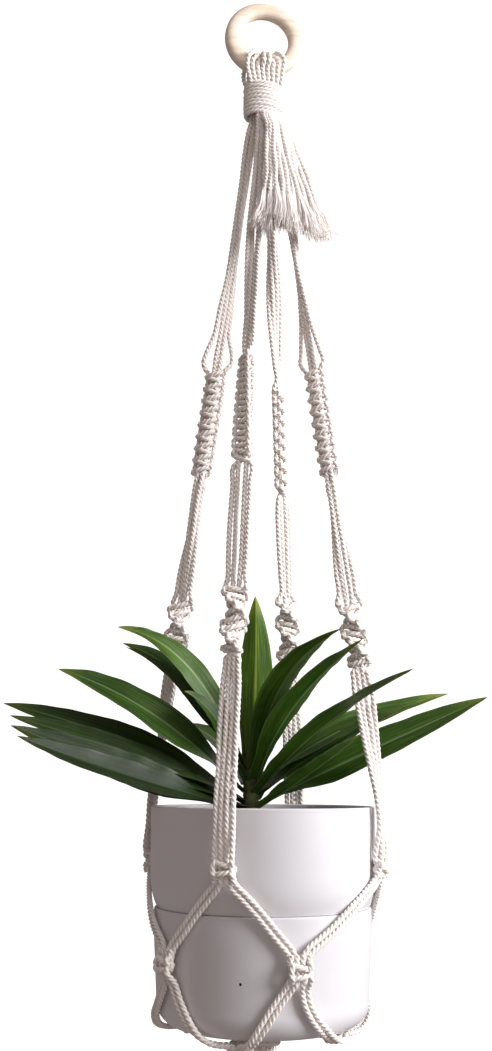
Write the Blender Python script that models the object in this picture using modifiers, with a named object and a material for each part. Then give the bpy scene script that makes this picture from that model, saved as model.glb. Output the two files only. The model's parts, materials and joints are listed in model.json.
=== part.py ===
# Hanging macrame planter: a wooden ring, a knotted cotton net of four legs, and a potted plant.
# Metres, +Z up. The origin is the hook seat, the inner top of the wooden ring.
# Angles named azimuth run from -Y towards +X, seen from above.

import math

import bmesh
import bpy
from mathutils import Matrix, Vector

GAP = 0.0003  # between pieces that touch

# Wooden ring, standing in the XZ plane
RING_RADIUS = 0.030  # of the centre line
RING_HALF_WIDTH = 0.007  # of the section, across the ring
RING_HALF_DEPTH = 0.0065  # of the section, along Y
RING_Z = RING_HALF_WIDTH - RING_RADIUS
SEAT_Z = RING_Z - RING_RADIUS  # centre of the ring's lowest stretch, where the head loops hang
RING_CLEARANCE = 0.0012  # between the ring and the loops that swing on it
SWING = 25.0  # degrees each way that the loops turn on the ring

ROPE = 0.0046  # diameter of one cotton cord
FOUR_FLAT = 4 * ROPE  # width of four cords side by side

# Levels down the hanger
WRAP_TOP = -0.0708
WRAP_BOTTOM = -0.1075
TASSEL_BOTTOM = -0.2290
KNOTS_TOP = -0.3480
KNOTS_BOTTOM = -0.4420
SPIRAL_TOP = -0.5480
SPIRAL_BOTTOM = -0.5980
NET_KNOT_TOP = -0.7570
NET_KNOT_BOTTOM = -0.7720
SIDE_KNOT_TOP = -0.8290
SIDE_KNOT_BOTTOM = -0.8450
UNDER_KNOT_Z = -0.8926  # the third knots, lying under the base
BASE_KNOT_TOP = -0.8886
BASE_KNOT_BOTTOM = -0.9005

TASSEL_AZIMUTH = 20.0
TASSEL_SPREAD = (38.0, 54.0)  # degrees each way from its middle, at its top and at its foot
TASSEL_TOP_RADIUS = 0.0160
TASSEL_FLARE = (0.0215, 0.0345)  # how far its foot stands out, at its left edge and at its right
TASSEL_THICKNESS = ROPE + 0.001
NET_TURN = 18.0  # the knotted net hangs turned this far from the ring
LEGS = {"front": NET_TURN - 45, "right": NET_TURN + 45, "back": NET_TURN + 135, "left": NET_TURN - 135}
# Turn of the flat knot band about its own leg: at the top and the foot of the band, and above the spiral
BAND_TURNS = {
    "front": (50, 10, 14),
    "right": (-73, -73, -103),
    "back": (-107, -97, -52),
    "left": (82, 82, 107),
}
# The knots between the legs; the net is tied by hand and the front two sit nearer to the front leg
SIDES = {"front_right": NET_TURN - 11, "back_right": NET_TURN + 90, "back_left": NET_TURN + 180,
         "front_left": NET_TURN - 80}

LEG_TOP_RADIUS = 0.0103
LEG_RIM_RADIUS = 0.0979
SIDE_KNOT_RADIUS = 0.0924
BUNDLE_HALF = 0.0046  # half of four cords bunched two by two
BAND_KNOTS = 9
BAND_HALF_WIDTHS = (0.0086, 0.0108)  # between two square knots, and at one
BAND_HALF_DEPTHS = (0.0054, 0.0064)
CORDS_HALF_DEPTH = 0.0032  # of four cords that lie loosely side by side
# Sections down the spiral of half knots: (share of its height, half width)
SPIRAL_LOBES = (
    (0.10, 0.0052), (0.22, 0.0098), (0.36, 0.0106), (0.50, 0.0066),
    (0.66, 0.0102), (0.80, 0.0104), (0.92, 0.0066), (1.0, 0.0056),
)
SPIRAL_HALF_DEPTH = 0.0074
# Sections of each net knot: (share of its height, half width, half depth)
NET_KNOT_SECTIONS = (
    (0.0, 0.0100, 0.0050), (0.3, 0.0106, 0.0058), (0.75, 0.0106, 0.0058), (1.0, 0.0088, 0.0040),
)
SIDE_KNOT_SECTIONS = (
    (0.0, 0.0092, 0.0040), (0.2, 0.0104, 0.0054), (0.5, 0.0098, 0.0050),
    (0.8, 0.0104, 0.0054), (1.0, 0.0092, 0.0040),
)

# Routes of the cord pairs: each point's height, its radius and its share of the turn between the two knots
PAIR_OFFSET = 0.0052  # sideways from the middle of a knot to the middle of the pair that leaves it
NET_SIDE_ROUTE = (
    (NET_KNOT_BOTTOM - GAP, 0.0968, 0.0), (-0.7765, 0.0952, 0.04), (-0.7840, 0.0928, 0.19),
    (-0.7920, 0.0910, 0.36), (-0.8000, 0.0904, 0.52), (-0.8080, 0.0904, 0.67), (-0.8160, 0.0904, 0.83),
    (-0.8230, 0.0906, 0.96), (SIDE_KNOT_TOP + GAP, 0.0912, 1.0),
)
BASE_PAIR_ROUTE = (
    (SIDE_KNOT_BOTTOM - GAP, 0.0894, 0.0), (-0.8500, 0.0890, 0.02), (-0.8600, 0.0882, 0.12),
    (-0.8700, 0.0874, 0.25), (-0.8780, 0.0860, 0.38), (-0.8850, 0.0826, 0.52), (-0.8895, 0.0770, 0.68),
    (-0.8912, 0.0706, 0.86), (-0.8914, 0.0648, 1.0),
)
# Sections of each third knot and of the cords that run on to the middle:
# (radius, height, half width, half depth)
UNDER_SECTIONS = (
    (0.0644, UNDER_KNOT_Z, 0.0094, 0.0036), (0.0615, UNDER_KNOT_Z, 0.0104, 0.0040),
    (0.0575, UNDER_KNOT_Z, 0.0098, 0.0038), (0.0535, UNDER_KNOT_Z, 0.0104, 0.0040),
    (0.0500, UNDER_KNOT_Z, 0.0092, 0.0034), (0.0440, -0.8912, 0.0088, 0.0023),
    (0.0300, -0.8914, 0.0080, 0.0025), (0.0160, -0.8928, 0.0062, 0.0034),
)
BASE_KNOT_RADIUS = 0.0152
# Pairs that swing early (below 1) or late (above 1) towards their knot under the base
BASE_PAIR_SWING = {("front_right", "front"): 0.65, ("front_right", "right"): 1.6}

# Pot and water cup
RIM_Z = -0.7206
RIM_RADIUS = 0.0912
WALL = 0.0026
SHOULDER_Z = -0.7987
CUP_TOP = SHOULDER_Z - GAP
CUP_FLOOR = -0.8880
POT_FLOOR = -0.8700
SOIL_Z = -0.7370
TURN_STEPS = 32

# Plant
CROWN = Vector((-0.010, 0.0, 0.0))
STEM_RADIUS = 0.0065
STEM_TOP = -0.6760
FRONT = -10.0  # azimuth that the plant's fuller side looks to
# Each leaf: azimuth, height where it leaves the stem, (reach, height) of its bend and of its tip, width,
# and how far its face leans from looking up to looking forwards
LEAVES = {
    "leaf_left_top": (-84, -0.690, (0.047, -0.585), (0.113, -0.578), 0.020, 50),
    "leaf_left_upper": (-95, -0.699, (0.045, -0.606), (0.107, -0.589), 0.020, 50),
    "leaf_left_middle": (-91, -0.709, (0.084, -0.632), (0.159, -0.612), 0.024, 55),
    "leaf_left_lower": (-97, -0.718, (0.097, -0.662), (0.204, -0.639), 0.025, 55),
    "leaf_left_low": (-83, -0.727, (0.108, -0.691), (0.196, -0.659), 0.024, 55),
    "leaf_right_top": (28, -0.690, (0.023, -0.608), (0.112, -0.586), 0.022, 0),
    "leaf_right_upper": (41, -0.699, (0.030, -0.636), (0.112, -0.592), 0.023, 0),
    "leaf_right_middle": (46, -0.710, (0.060, -0.652), (0.150, -0.616), 0.023, 0),
    "leaf_back_right": (99, -0.702, (0.071, -0.650), (0.182, -0.625), 0.022, 50),
    "leaf_right_lower": (83, -0.720, (0.086, -0.680), (0.198, -0.631), 0.025, 55),
}
LEAF_FOLD = 0.28  # rise of a leaf's edges over its midrib, to its half width
LEAF_THICKNESS = 0.0012
UPRIGHT_LEAF_TIP = -0.549
UPRIGHT_LEAF_WIDTH = 0.024

COLOURS = {
    "beech": ((0.80, 0.66, 0.50), 0.55),
    "cotton": ((0.84, 0.80, 0.74), 0.95),
    "white_plastic": ((0.88, 0.88, 0.89), 0.45),
    "potting_mix": ((0.06, 0.04, 0.03), 1.0),
    "cane": ((0.20, 0.22, 0.09), 0.7),
    "leaf": ((0.06, 0.20, 0.03), 0.45),
}


def make_materials():
    made = {}
    for name, (colour, roughness) in COLOURS.items():
        material = bpy.data.materials.new(name)
        material.use_nodes = True
        shader = material.node_tree.nodes["Principled BSDF"]
        shader.inputs["Base Color"].default_value = (*colour, 1.0)
        shader.inputs["Roughness"].default_value = roughness
        shader.inputs["Metallic"].default_value = 0.0
        made[name] = material
    return made


def outward(azimuth):
    angle = math.radians(azimuth)
    return Vector((math.sin(angle), -math.cos(angle), 0.0))


def sideways(azimuth):
    angle = math.radians(azimuth)
    return Vector((math.cos(angle), math.sin(angle), 0.0))


def place(azimuth, radius, height, side=0.0):
    """The point at this azimuth, radius and height, moved sideways round the axis."""
    return outward(azimuth) * radius + sideways(azimuth) * side + Vector((0.0, 0.0, height))


def mix(low, high, share):
    return low + (high - low) * share


def new_object(name, mesh, material, collection, joint_point=None):
    obj = bpy.data.objects.new(name, mesh)
    mesh.materials.append(MATERIALS[material])
    collection.objects.link(obj)
    if joint_point is not None:
        mesh.transform(Matrix.Translation(-joint_point))
        obj.location = joint_point
    return obj


def closed_mesh(name, body, sharp_angle=50):
    """The finished mesh of a closed body, its faces outwards and its gentle edges smooth."""
    bmesh.ops.recalc_face_normals(body, faces=body.faces)
    if body.calc_volume(signed=True) < 0:
        bmesh.ops.reverse_faces(body, faces=body.faces)
    mesh = bpy.data.meshes.new(name)
    body.to_mesh(mesh)
    body.free()
    mesh.shade_smooth()
    mesh.set_sharp_from_angle(angle=math.radians(sharp_angle))
    return mesh


def ring_of(centre, side, out, half_width, half_depth, count, power):
    """A rounded-box section with its wide way along side and its thin way along out."""
    points = []
    for step in range(count):
        angle = 2 * math.pi * step / count
        cosine = math.cos(angle)
        sine = math.sin(angle)
        across = math.copysign(abs(cosine) ** (2 / power), cosine)
        through = math.copysign(abs(sine) ** (2 / power), sine)
        points.append(centre + side * (across * half_width) + out * (through * half_depth))
    return points


def bridge(body, first, second):
    """Faces between two loops of the same number of points."""
    for step in range(len(first)):
        after = (step + 1) % len(first)
        body.faces.new((first[step], first[after], second[after], second[step]))


def loft(name, stations, material, joint_point=None, count=10, power=2.6):
    """A closed body through stations of (centre, side, out, half width, half depth)."""
    body = bmesh.new()
    rings = []
    for station in stations:
        rings.append([body.verts.new(point) for point in ring_of(*station, count, power)])
    for upper, lower in zip(rings, rings[1:]):
        bridge(body, upper, lower)
    body.faces.new(rings[0])
    body.faces.new(rings[-1])
    return new_object(name, closed_mesh(name, body), material, PLANTER, joint_point)


def path_stations(points, outs, half_widths, half_depths):
    """Stations square to a route, with the thin way kept towards the given out directions."""
    stations = []
    last = len(points) - 1
    for index, point in enumerate(points):
        along = (points[min(index + 1, last)] - points[max(index - 1, 0)]).normalized()
        out = (outs[index] - along * outs[index].dot(along)).normalized()
        side = out.cross(along).normalized()
        stations.append((point, side, out, half_widths[index], half_depths[index]))
    return stations


def add_screw(obj, steps, axis="Z"):
    screw = obj.modifiers.new("Turn", "SCREW")
    screw.axis = axis
    screw.steps = steps
    screw.render_steps = steps
    screw.use_merge_vertices = True
    screw.merge_threshold = 0.00001
    screw.use_smooth_shade = True


def turned(name, profile, material, steps=TURN_STEPS):
    """A profile of (radius, height), from the top of its outer side down, turned about the Z axis."""
    mesh = bpy.data.meshes.new(name)
    points = [(radius, 0.0, height) for radius, height in profile]
    mesh.from_pydata(points, [(index, index + 1) for index in range(len(points) - 1)], [])
    obj = new_object(name, mesh, material, PLANTER)
    add_screw(obj, steps)
    return obj


def arc(centre_radius, centre_height, radius, start, end, count):
    """Points of an arc in the (radius, height) plane, from start to end degrees."""
    points = []
    for step in range(count + 1):
        angle = math.radians(mix(start, end, step / count))
        points.append((centre_radius + radius * math.cos(angle), centre_height + radius * math.sin(angle)))
    return points


# ---- ring, head loops and wrap ----

def make_ring():
    """The wooden ring: a rounded-box section turned about the Y axis."""
    points = ring_of(Vector((RING_RADIUS, 0.0, 0.0)), Vector((1.0, 0.0, 0.0)), Vector((0.0, 1.0, 0.0)),
                     RING_HALF_WIDTH, RING_HALF_DEPTH, 12, 2.5)
    mesh = bpy.data.meshes.new("wooden_ring")
    mesh.from_pydata(points[::-1], [(index, (index + 1) % len(points)) for index in range(len(points))], [])
    ring = new_object("wooden_ring", mesh, "beech", PLANTER)
    ring.location = (0.0, 0.0, RING_Z)
    add_screw(ring, 36, "Y")


def make_ring_cutter():
    """Room for the ring in the loops: a ring deepened so that it holds the ring at each end of its swing."""
    swing = math.radians(SWING)
    steps = 48
    count = 12
    body = bmesh.new()
    rings = []
    for step in range(steps):
        angle = 2 * math.pi * step / steps
        radial = Vector((math.sin(angle), 0.0, math.cos(angle)))
        centre = radial * RING_RADIUS + Vector((0.0, 0.0, RING_Z))
        rise = centre.z - SEAT_Z
        half_width = RING_HALF_WIDTH + RING_CLEARANCE + rise * (1.0 - math.cos(swing))
        half_depth = RING_HALF_WIDTH + RING_CLEARANCE + rise * math.sin(swing)
        section = ring_of(centre, radial, Vector((0.0, 1.0, 0.0)), half_width, half_depth, count, 2.5)
        rings.append([body.verts.new(point) for point in section])
    for index, lower in enumerate(rings):
        bridge(body, lower, rings[(index + 1) % steps])
    cutter = new_object("ring_cutter", closed_mesh("ring_cutter", body), "beech", CUTTERS)
    cutter.hide_render = True
    cutter.display_type = "WIRE"
    return cutter


def make_head_loops():
    """Cords folded over the ring: a saddle round its lowest stretch, hollowed so that it can swing there."""
    outer = RING_HALF_WIDTH + RING_CLEARANCE + ROPE
    half_head = 0.0185
    columns = 13
    arch_points = 10
    body = bmesh.new()
    outlines = []
    for step in range(columns):
        x = mix(-half_head, half_head, step / (columns - 1))
        outline = []
        for point in range(arch_points + 1):
            angle = math.pi * point / arch_points
            arch_x = x * (1.0 - 0.25 * math.sin(angle))
            tube_z = RING_Z - math.sqrt(RING_RADIUS ** 2 - arch_x ** 2)
            rise = outer * math.sin(angle) * RING_RADIUS / (RING_Z - tube_z)
            outline.append((arch_x, outer * math.cos(angle), tube_z + rise))
        for y in (-0.0128, 0.0128):
            outline.append((x * 0.88, y, WRAP_TOP + GAP))
        outlines.append([body.verts.new(point) for point in outline])
    for left, right in zip(outlines, outlines[1:]):
        bridge(body, left, right)
    body.faces.new(outlines[0])
    body.faces.new(outlines[-1])
    joint = Vector((0.0, 0.0, SEAT_Z))
    loops = new_object("head_loops", closed_mesh("head_loops", body), "cotton", PLANTER, joint)
    cut = loops.modifiers.new("Room for the ring", "BOOLEAN")
    cut.operation = "DIFFERENCE"
    cut.solver = "EXACT"
    cut.object = make_ring_cutter()


def make_top_wrap():
    """The binding of thin turns, slightly bulged, one soft ridge for each two turns."""
    turns = 7
    stations = []
    for step in range(2 * turns + 1):
        share = step / (2 * turns)
        ridge = 0.0 if step % 2 == 0 else 0.0007
        bulge = 0.0006 * math.sin(math.pi * share)
        height = mix(WRAP_TOP, WRAP_BOTTOM, share)
        stations.append((Vector((0.0, 0.0, height)), Vector((1.0, 0.0, 0.0)), Vector((0.0, 1.0, 0.0)),
                         0.0164 + ridge + bulge, 0.0150 + ridge + bulge))
    loft("top_wrap", stations, "cotton", count=16, power=2.1)


def make_tassel():
    """A fan of cut cords hanging in front of the legs, wider and further out at its ends."""
    top = WRAP_BOTTOM - GAP
    rows = 9
    across = 9
    thickness = TASSEL_THICKNESS
    body = bmesh.new()
    sections = []
    for row in range(rows):
        share = row / (rows - 1)
        height = mix(top, TASSEL_BOTTOM, share)
        spread = mix(*TASSEL_SPREAD, share)
        inner = []
        outer = []
        for step in range(across):
            side = mix(-1.0, 1.0, step / (across - 1))
            azimuth = TASSEL_AZIMUTH + side * spread
            radius = TASSEL_TOP_RADIUS + mix(*TASSEL_FLARE, (side + 1) / 2) * share ** 0.9
            inner.append(place(azimuth, radius, height))
            outer.append(place(azimuth, radius + thickness, height))
        sections.append([body.verts.new(point) for point in inner + outer[::-1]])
    size = 2 * across
    for upper, lower in zip(sections, sections[1:]):
        bridge(body, upper, lower)
    for cap in (sections[0], sections[-1]):
        for step in range(across - 1):
            body.faces.new((cap[step], cap[step + 1], cap[size - 2 - step], cap[size - 1 - step]))
    joint = place(TASSEL_AZIMUTH, TASSEL_TOP_RADIUS + 0.001, top)
    new_object("tassel", closed_mesh("tassel", body), "cotton", PLANTER, joint)


# ---- legs ----

def leg_radius(height):
    share = (height - WRAP_BOTTOM) / (RIM_Z - WRAP_BOTTOM)
    return mix(LEG_TOP_RADIUS, LEG_RIM_RADIUS, min(max(share, 0.0), 1.0))


def leg_stations(azimuth, rows):
    """Level sections down one leg. rows are (height, turn in degrees, half width, half depth)."""
    out = outward(azimuth)
    side = sideways(azimuth)
    stations = []
    for height, turn, half_width, half_depth in rows:
        angle = math.radians(turn)
        wide = side * math.cos(angle) + out * math.sin(angle)
        thin = out * math.cos(angle) - side * math.sin(angle)
        stations.append((place(azimuth, leg_radius(height), height), wide, thin, half_width, half_depth))
    return stations


def make_leg(name, azimuth):
    top_turn, foot_turn, middle_turn = BAND_TURNS[name]
    joint = place(azimuth, LEG_TOP_RADIUS, WRAP_BOTTOM - GAP)

    # four cords in a bundle that opens flat where the knot band starts
    rows = []
    steps = 8
    for step in range(steps + 1):
        share = step / steps
        height = mix(WRAP_BOTTOM - GAP, KNOTS_TOP + GAP, share)
        opened = max(0.0, (share - 0.45) / 0.55) ** 1.5
        half_width = mix(BUNDLE_HALF, 0.0096, opened)
        rows.append((height, top_turn * opened, half_width, mix(BUNDLE_HALF, 0.0030, opened)))
    loft(f"{name}_upper_cords", leg_stations(azimuth, rows), "cotton", joint)

    # the band of square knots, waisted between knots
    rows = []
    for step in range(2 * BAND_KNOTS + 1):
        share = step / (2 * BAND_KNOTS)
        height = mix(KNOTS_TOP, KNOTS_BOTTOM, share)
        full = step % 2
        turn = mix(top_turn, foot_turn, share)
        rows.append((height, turn, BAND_HALF_WIDTHS[full], BAND_HALF_DEPTHS[full]))
    loft(f"{name}_knot_band", leg_stations(azimuth, rows), "cotton", joint, count=8)

    # four cords side by side, then the short spiral of half knots with its two lobes
    rows = []
    for share in (0.0, 0.2, 0.45, 0.7, 0.9, 1.0):
        height = mix(KNOTS_BOTTOM - GAP, SPIRAL_TOP, share)
        half_width = mix(0.0072, 0.0105, share) if name != "front" else 0.0110
        rows.append((height, mix(foot_turn, middle_turn, share), half_width, CORDS_HALF_DEPTH))
    end_turn = 180.0 * round(middle_turn / 180.0)
    if end_turn == 0.0 and abs(middle_turn) > 60.0:
        end_turn = math.copysign(180.0, middle_turn)
    for share, half_width in SPIRAL_LOBES:
        height = mix(SPIRAL_TOP, SPIRAL_BOTTOM, share)
        turn = mix(middle_turn, end_turn, share)
        rows.append((height, turn, half_width, min(half_width, SPIRAL_HALF_DEPTH)))
    loft(f"{name}_middle_cords", leg_stations(azimuth, rows), "cotton", joint)

    # four cords lying flat past the rim, tied in the first knot of the net
    rows = []
    flat = FOUR_FLAT / 2
    widening = ((0.0, 0.0058), (0.12, 0.0078), (0.35, flat), (0.65, flat), (0.85, flat), (1.0, flat))
    for share, half_width in widening:
        height = mix(SPIRAL_BOTTOM - GAP, NET_KNOT_TOP + 0.0020, share)
        rows.append((height, 0.0, half_width, mix(0.0042, ROPE / 2 + 0.0002, min(1.0, 3 * share))))
    for share, half_width, half_depth in NET_KNOT_SECTIONS:
        rows.append((mix(NET_KNOT_TOP, NET_KNOT_BOTTOM, share), 0.0, half_width, half_depth))
    loft(f"{name}_lower_cords", leg_stations(azimuth, rows), "cotton", joint)


# ---- the net round and under the pot ----

def make_net_side(leg, leg_azimuth, side, side_azimuth):
    """The pair of cords from a leg's net knot, over the pot's shoulder, to the side knot."""
    turn = (side_azimuth - leg_azimuth + 180.0) % 360.0 - 180.0
    way = math.copysign(1.0, turn)
    points = []
    outs = []
    for height, radius, share in NET_SIDE_ROUTE:
        offset = math.degrees(PAIR_OFFSET / radius)
        azimuth = leg_azimuth + way * mix(offset, abs(turn) - offset, share)
        points.append(place(azimuth, radius, height))
        outs.append(outward(azimuth))
    widths = [ROPE * 0.98] * len(points)
    widths[0] = ROPE * 0.92
    widths[-1] = ROPE * 0.92
    stations = path_stations(points, outs, widths, [ROPE / 2] * len(points))
    for index in (0, len(stations) - 1):
        point, _, _, half_width, half_depth = stations[index]
        azimuth = math.degrees(math.atan2(point.x, -point.y))
        stations[index] = (point, sideways(azimuth), outward(azimuth), half_width, half_depth)
    loft(f"{leg}_to_{side}_cords", stations, "cotton", count=8)


def make_side_knot(side, azimuth):
    stations = []
    for share, half_width, half_depth in SIDE_KNOT_SECTIONS:
        height = mix(SIDE_KNOT_TOP, SIDE_KNOT_BOTTOM, share)
        stations.append((place(azimuth, SIDE_KNOT_RADIUS, height), sideways(azimuth), outward(azimuth),
                         half_width, half_depth))
    loft(f"{side}_knot", stations, "cotton", count=10)


def make_base_pair(side, side_azimuth, leg, leg_azimuth):
    """The pair of cords from a side knot, down the cup and round its corner, to the knot under the base."""
    turn = (leg_azimuth - side_azimuth + 180.0) % 360.0 - 180.0
    way = math.copysign(1.0, turn)
    points = []
    outs = []
    for height, radius, share in BASE_PAIR_ROUTE:
        share = share ** BASE_PAIR_SWING.get((side, leg), 1.0)
        offset = math.degrees(PAIR_OFFSET / radius)
        azimuth = side_azimuth + way * mix(offset, abs(turn) - offset, share)
        points.append(place(azimuth, radius, height))
        lean = min(1.0, max(0.0, (-0.8680 - height) / 0.0225))
        outs.append((outward(azimuth) * (1.0 - lean) + Vector((0.0, 0.0, -lean))).normalized())
    stations = path_stations(points, outs, [ROPE * 0.92] * len(points), [ROPE / 2] * len(points))
    point, _, _, half_width, half_depth = stations[0]
    azimuth = math.degrees(math.atan2(point.x, -point.y))
    stations[0] = (point, sideways(azimuth), outward(azimuth), half_width, half_depth)
    point, _, _, half_width, half_depth = stations[-1]
    stations[-1] = (point, sideways(leg_azimuth), Vector((0.0, 0.0, -1.0)), half_width, half_depth)
    loft(f"{side}_to_{leg}_base_cords", stations, "cotton", count=8)


def make_under_cords(leg, azimuth):
    """The third knot, under the base, and the four cords that run on to the middle."""
    down = Vector((0.0, 0.0, -1.0))
    stations = []
    for radius, height, half_width, half_depth in UNDER_SECTIONS:
        stations.append((place(azimuth, radius, height), sideways(azimuth), down, half_width, half_depth))
    loft(f"{leg}_under_cords", stations, "cotton", count=8)


def make_base_knot():
    """The gathering knot: a flat turned bead under the middle of the base."""
    height = BASE_KNOT_TOP - BASE_KNOT_BOTTOM
    inner = BASE_KNOT_RADIUS - 0.0047
    profile = [(0.0, BASE_KNOT_TOP), (inner, BASE_KNOT_TOP)]
    for radius, level in arc(inner, BASE_KNOT_TOP - height / 2, height / 2, 60, -60, 4):
        profile.append((min(radius, BASE_KNOT_RADIUS), level))
    profile += [(inner, BASE_KNOT_BOTTOM), (0.0, BASE_KNOT_BOTTOM)]
    turned("base_knot", profile, "cotton", steps=16)


# ---- pot, cup, soil and plant ----

def pot_outer():
    """The pot's outside from the rim down: a plain wall, a rounded shoulder, a ledge and a narrower foot."""
    shoulder = [(0.0911, -0.7300), (0.0907, -0.7640), (0.0905, -0.7740), (0.0902, -0.7800), (0.0896, -0.7850),
                (0.0884, -0.7900), (0.0869, -0.7942), (0.0858, -0.7968)]
    ledge = [(0.0850, SHOULDER_Z), (0.0766, SHOULDER_Z)]
    foot = [(0.0748, -0.8200), (0.0720, -0.8500)]
    corner = arc(0.0620, POT_FLOOR + 0.0090, 0.0090, 0, -90, 3)
    return shoulder + ledge + foot + corner


def make_pot():
    outer = pot_outer()
    inner = [(0.0911 - WALL, -0.7300), (0.0907 - WALL, -0.7640), (0.0878, -0.7760), (0.0868, -0.7835),
             (0.0850, -0.7890), (0.0826, -0.7940), (0.0800, -0.7960), (0.0745, -0.7968), (0.0737, -0.8020),
             (0.0720, -0.8200), (0.0692, -0.8500), (0.0620, POT_FLOOR + WALL)]
    rim = [(RIM_RADIUS - WALL, RIM_Z - 0.0006), (RIM_RADIUS - 0.0019, RIM_Z), (RIM_RADIUS - 0.0007, RIM_Z),
           (RIM_RADIUS, RIM_Z - 0.0008)]
    profile = [(0.0, POT_FLOOR + WALL)] + inner[::-1] + rim + outer + [(0.0, POT_FLOOR)]
    turned("pot", profile, "white_plastic")
    return inner


def make_water_cup():
    lip = [(0.0774, CUP_TOP - 0.0012), (0.0780, CUP_TOP), (0.0858, CUP_TOP)]
    shoulder = arc(0.0858, CUP_TOP - 0.0013, 0.0013, 60, 0, 2)
    wall = [(0.0871, -0.8160), (0.0857, -0.8400), (0.0843, -0.8640)]
    corner = arc(0.0653, CUP_FLOOR + 0.0190, 0.0190, 0, -90, 6)
    outer = lip + shoulder + wall + corner
    inner = [(0.0640, CUP_FLOOR + WALL)] + arc(0.0653, CUP_FLOOR + 0.0190, 0.0164, -75, 0, 4)
    inner += [(0.0830, -0.8400), (0.0844, -0.8160), (0.0845, -0.8040), (0.0830, -0.8018), (0.0776, -0.8016)]
    profile = [(0.0, CUP_FLOOR + WALL)] + inner + outer + [(0.0, CUP_FLOOR)]
    turned("water_cup", profile, "white_plastic")


def make_soil(pot_inner):
    """Potting mix that fills the pot, a little domed towards the stem."""
    side = [(radius - GAP * 1.5, height) for radius, height in pot_inner if height < SOIL_Z]
    side[-1] = (side[-1][0], POT_FLOOR + WALL + GAP * 1.5)
    top_radius = 0.0911 - WALL - 0.0012
    top = [(0.0, SOIL_Z + 0.0020), (0.0300, SOIL_Z + 0.0014), (0.0600, SOIL_Z), (top_radius, SOIL_Z - 0.0012)]
    profile = top + side + [(0.0, POT_FLOOR + WALL + GAP * 1.5)]
    turned("soil", profile, "potting_mix", steps=28)


def make_stem():
    foot = SOIL_Z + 0.0020 + GAP
    profile = [(0.0, STEM_TOP), (STEM_RADIUS * 0.75, STEM_TOP), (STEM_RADIUS, mix(foot, STEM_TOP, 0.85)),
               (STEM_RADIUS, mix(foot, STEM_TOP, 0.25)), (STEM_RADIUS * 1.12, foot), (0.0, foot)]
    turned("stem", profile, "cane", steps=12).location = CROWN


def leaf_body(name, points, sides, widths):
    """A strap leaf: a channelled ribbon, folded along its midrib, with a real thickness."""
    body = bmesh.new()
    rows = []
    last = len(points) - 1
    for index, point in enumerate(points):
        along = (points[min(index + 1, last)] - points[max(index - 1, 0)]).normalized()
        side = sides[index]
        normal = along.cross(side).normalized()
        half = widths[index] / 2
        rise = half * LEAF_FOLD
        thick = normal * (LEAF_THICKNESS / 2)
        upper = [point - side * half + normal * rise, point, point + side * half + normal * rise]
        row = [body.verts.new(corner + thick) for corner in upper]
        row += [body.verts.new(corner - thick) for corner in upper[::-1]]
        rows.append(row)
    for first, second in zip(rows, rows[1:]):
        bridge(body, first, second)
    for cap in (rows[0], rows[-1]):
        body.faces.new((cap[0], cap[1], cap[4], cap[5]))
        body.faces.new((cap[1], cap[2], cap[3], cap[4]))
    return new_object(name, closed_mesh(name, body), "leaf", PLANTER)


def leaf_width(width, share):
    """Narrow where it clasps the stem, full from a third of the way, then drawn to a point."""
    foot = min(1.0, 0.29 + 1.9 * share)
    return max(0.0010, width * foot * (1.0 - share ** 2.6) ** 0.8)


def make_leaf(name, azimuth, stem_height, bend, tip, width, lean):
    """An arching leaf. Its face turns from the stem towards up and forwards over its first third."""
    steps = 11
    out = outward(azimuth)
    start = (STEM_RADIUS + 0.0010, stem_height)
    angle = math.radians(lean)
    face = outward(FRONT) * math.sin(angle) + Vector((0.0, 0.0, math.cos(angle)))
    points = []
    sides = []
    widths = []
    for step in range(steps + 1):
        share = step / steps
        back = 1.0 - share
        reach, height = (back * back * start[axis] + 2 * back * share * bend[axis] + share * share * tip[axis]
                         for axis in (0, 1))
        along = out * (back * (bend[0] - start[0]) + share * (tip[0] - bend[0]))
        along.z = back * (bend[1] - start[1]) + share * (tip[1] - bend[1])
        turned_side = face.cross(along).normalized() if lean else sideways(azimuth)
        points.append(CROWN + out * reach + Vector((0.0, 0.0, height)))
        sides.append(sideways(azimuth).lerp(turned_side, min(1.0, 3.0 * share)).normalized())
        widths.append(leaf_width(width, share))
    leaf_body(name, points, sides, widths)


def make_upright_leaf():
    steps = 9
    lean_back = 0.006
    points = []
    widths = []
    for step in range(steps + 1):
        share = step / steps
        height = mix(STEM_TOP + 0.0010, UPRIGHT_LEAF_TIP, share)
        points.append(CROWN + outward(FRONT) * (lean_back * share * share) + Vector((0.0, 0.0, height)))
        widths.append(leaf_width(UPRIGHT_LEAF_WIDTH, share))
    leaf_body("leaf_upright", points, [sideways(FRONT)] * len(points), widths)


# ---- build ----

for old in list(bpy.data.objects):
    bpy.data.objects.remove(old, do_unlink=True)

MATERIALS = make_materials()
PLANTER = bpy.data.collections.new("hanging_macrame_planter")
CUTTERS = bpy.data.collections.new("cutters")
bpy.context.scene.collection.children.link(PLANTER)
bpy.context.scene.collection.children.link(CUTTERS)

make_ring()
make_head_loops()
make_top_wrap()
make_tassel()
for leg_name, leg_azimuth in LEGS.items():
    make_leg(leg_name, leg_azimuth)
    make_under_cords(leg_name, leg_azimuth)
for side_name, side_azimuth in SIDES.items():
    make_side_knot(side_name, side_azimuth)
    for leg_name, leg_azimuth in LEGS.items():
        if abs((leg_azimuth - side_azimuth + 180.0) % 360.0 - 180.0) < 60.0:
            make_net_side(leg_name, leg_azimuth, side_name, side_azimuth)
            make_base_pair(side_name, side_azimuth, leg_name, leg_azimuth)
make_base_knot()
soil_side = make_pot()
make_water_cup()
make_soil(soil_side)
make_stem()
for leaf_name, leaf in LEAVES.items():
    make_leaf(leaf_name, *leaf)
make_upright_leaf()
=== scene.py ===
import json
import math
import random

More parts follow.
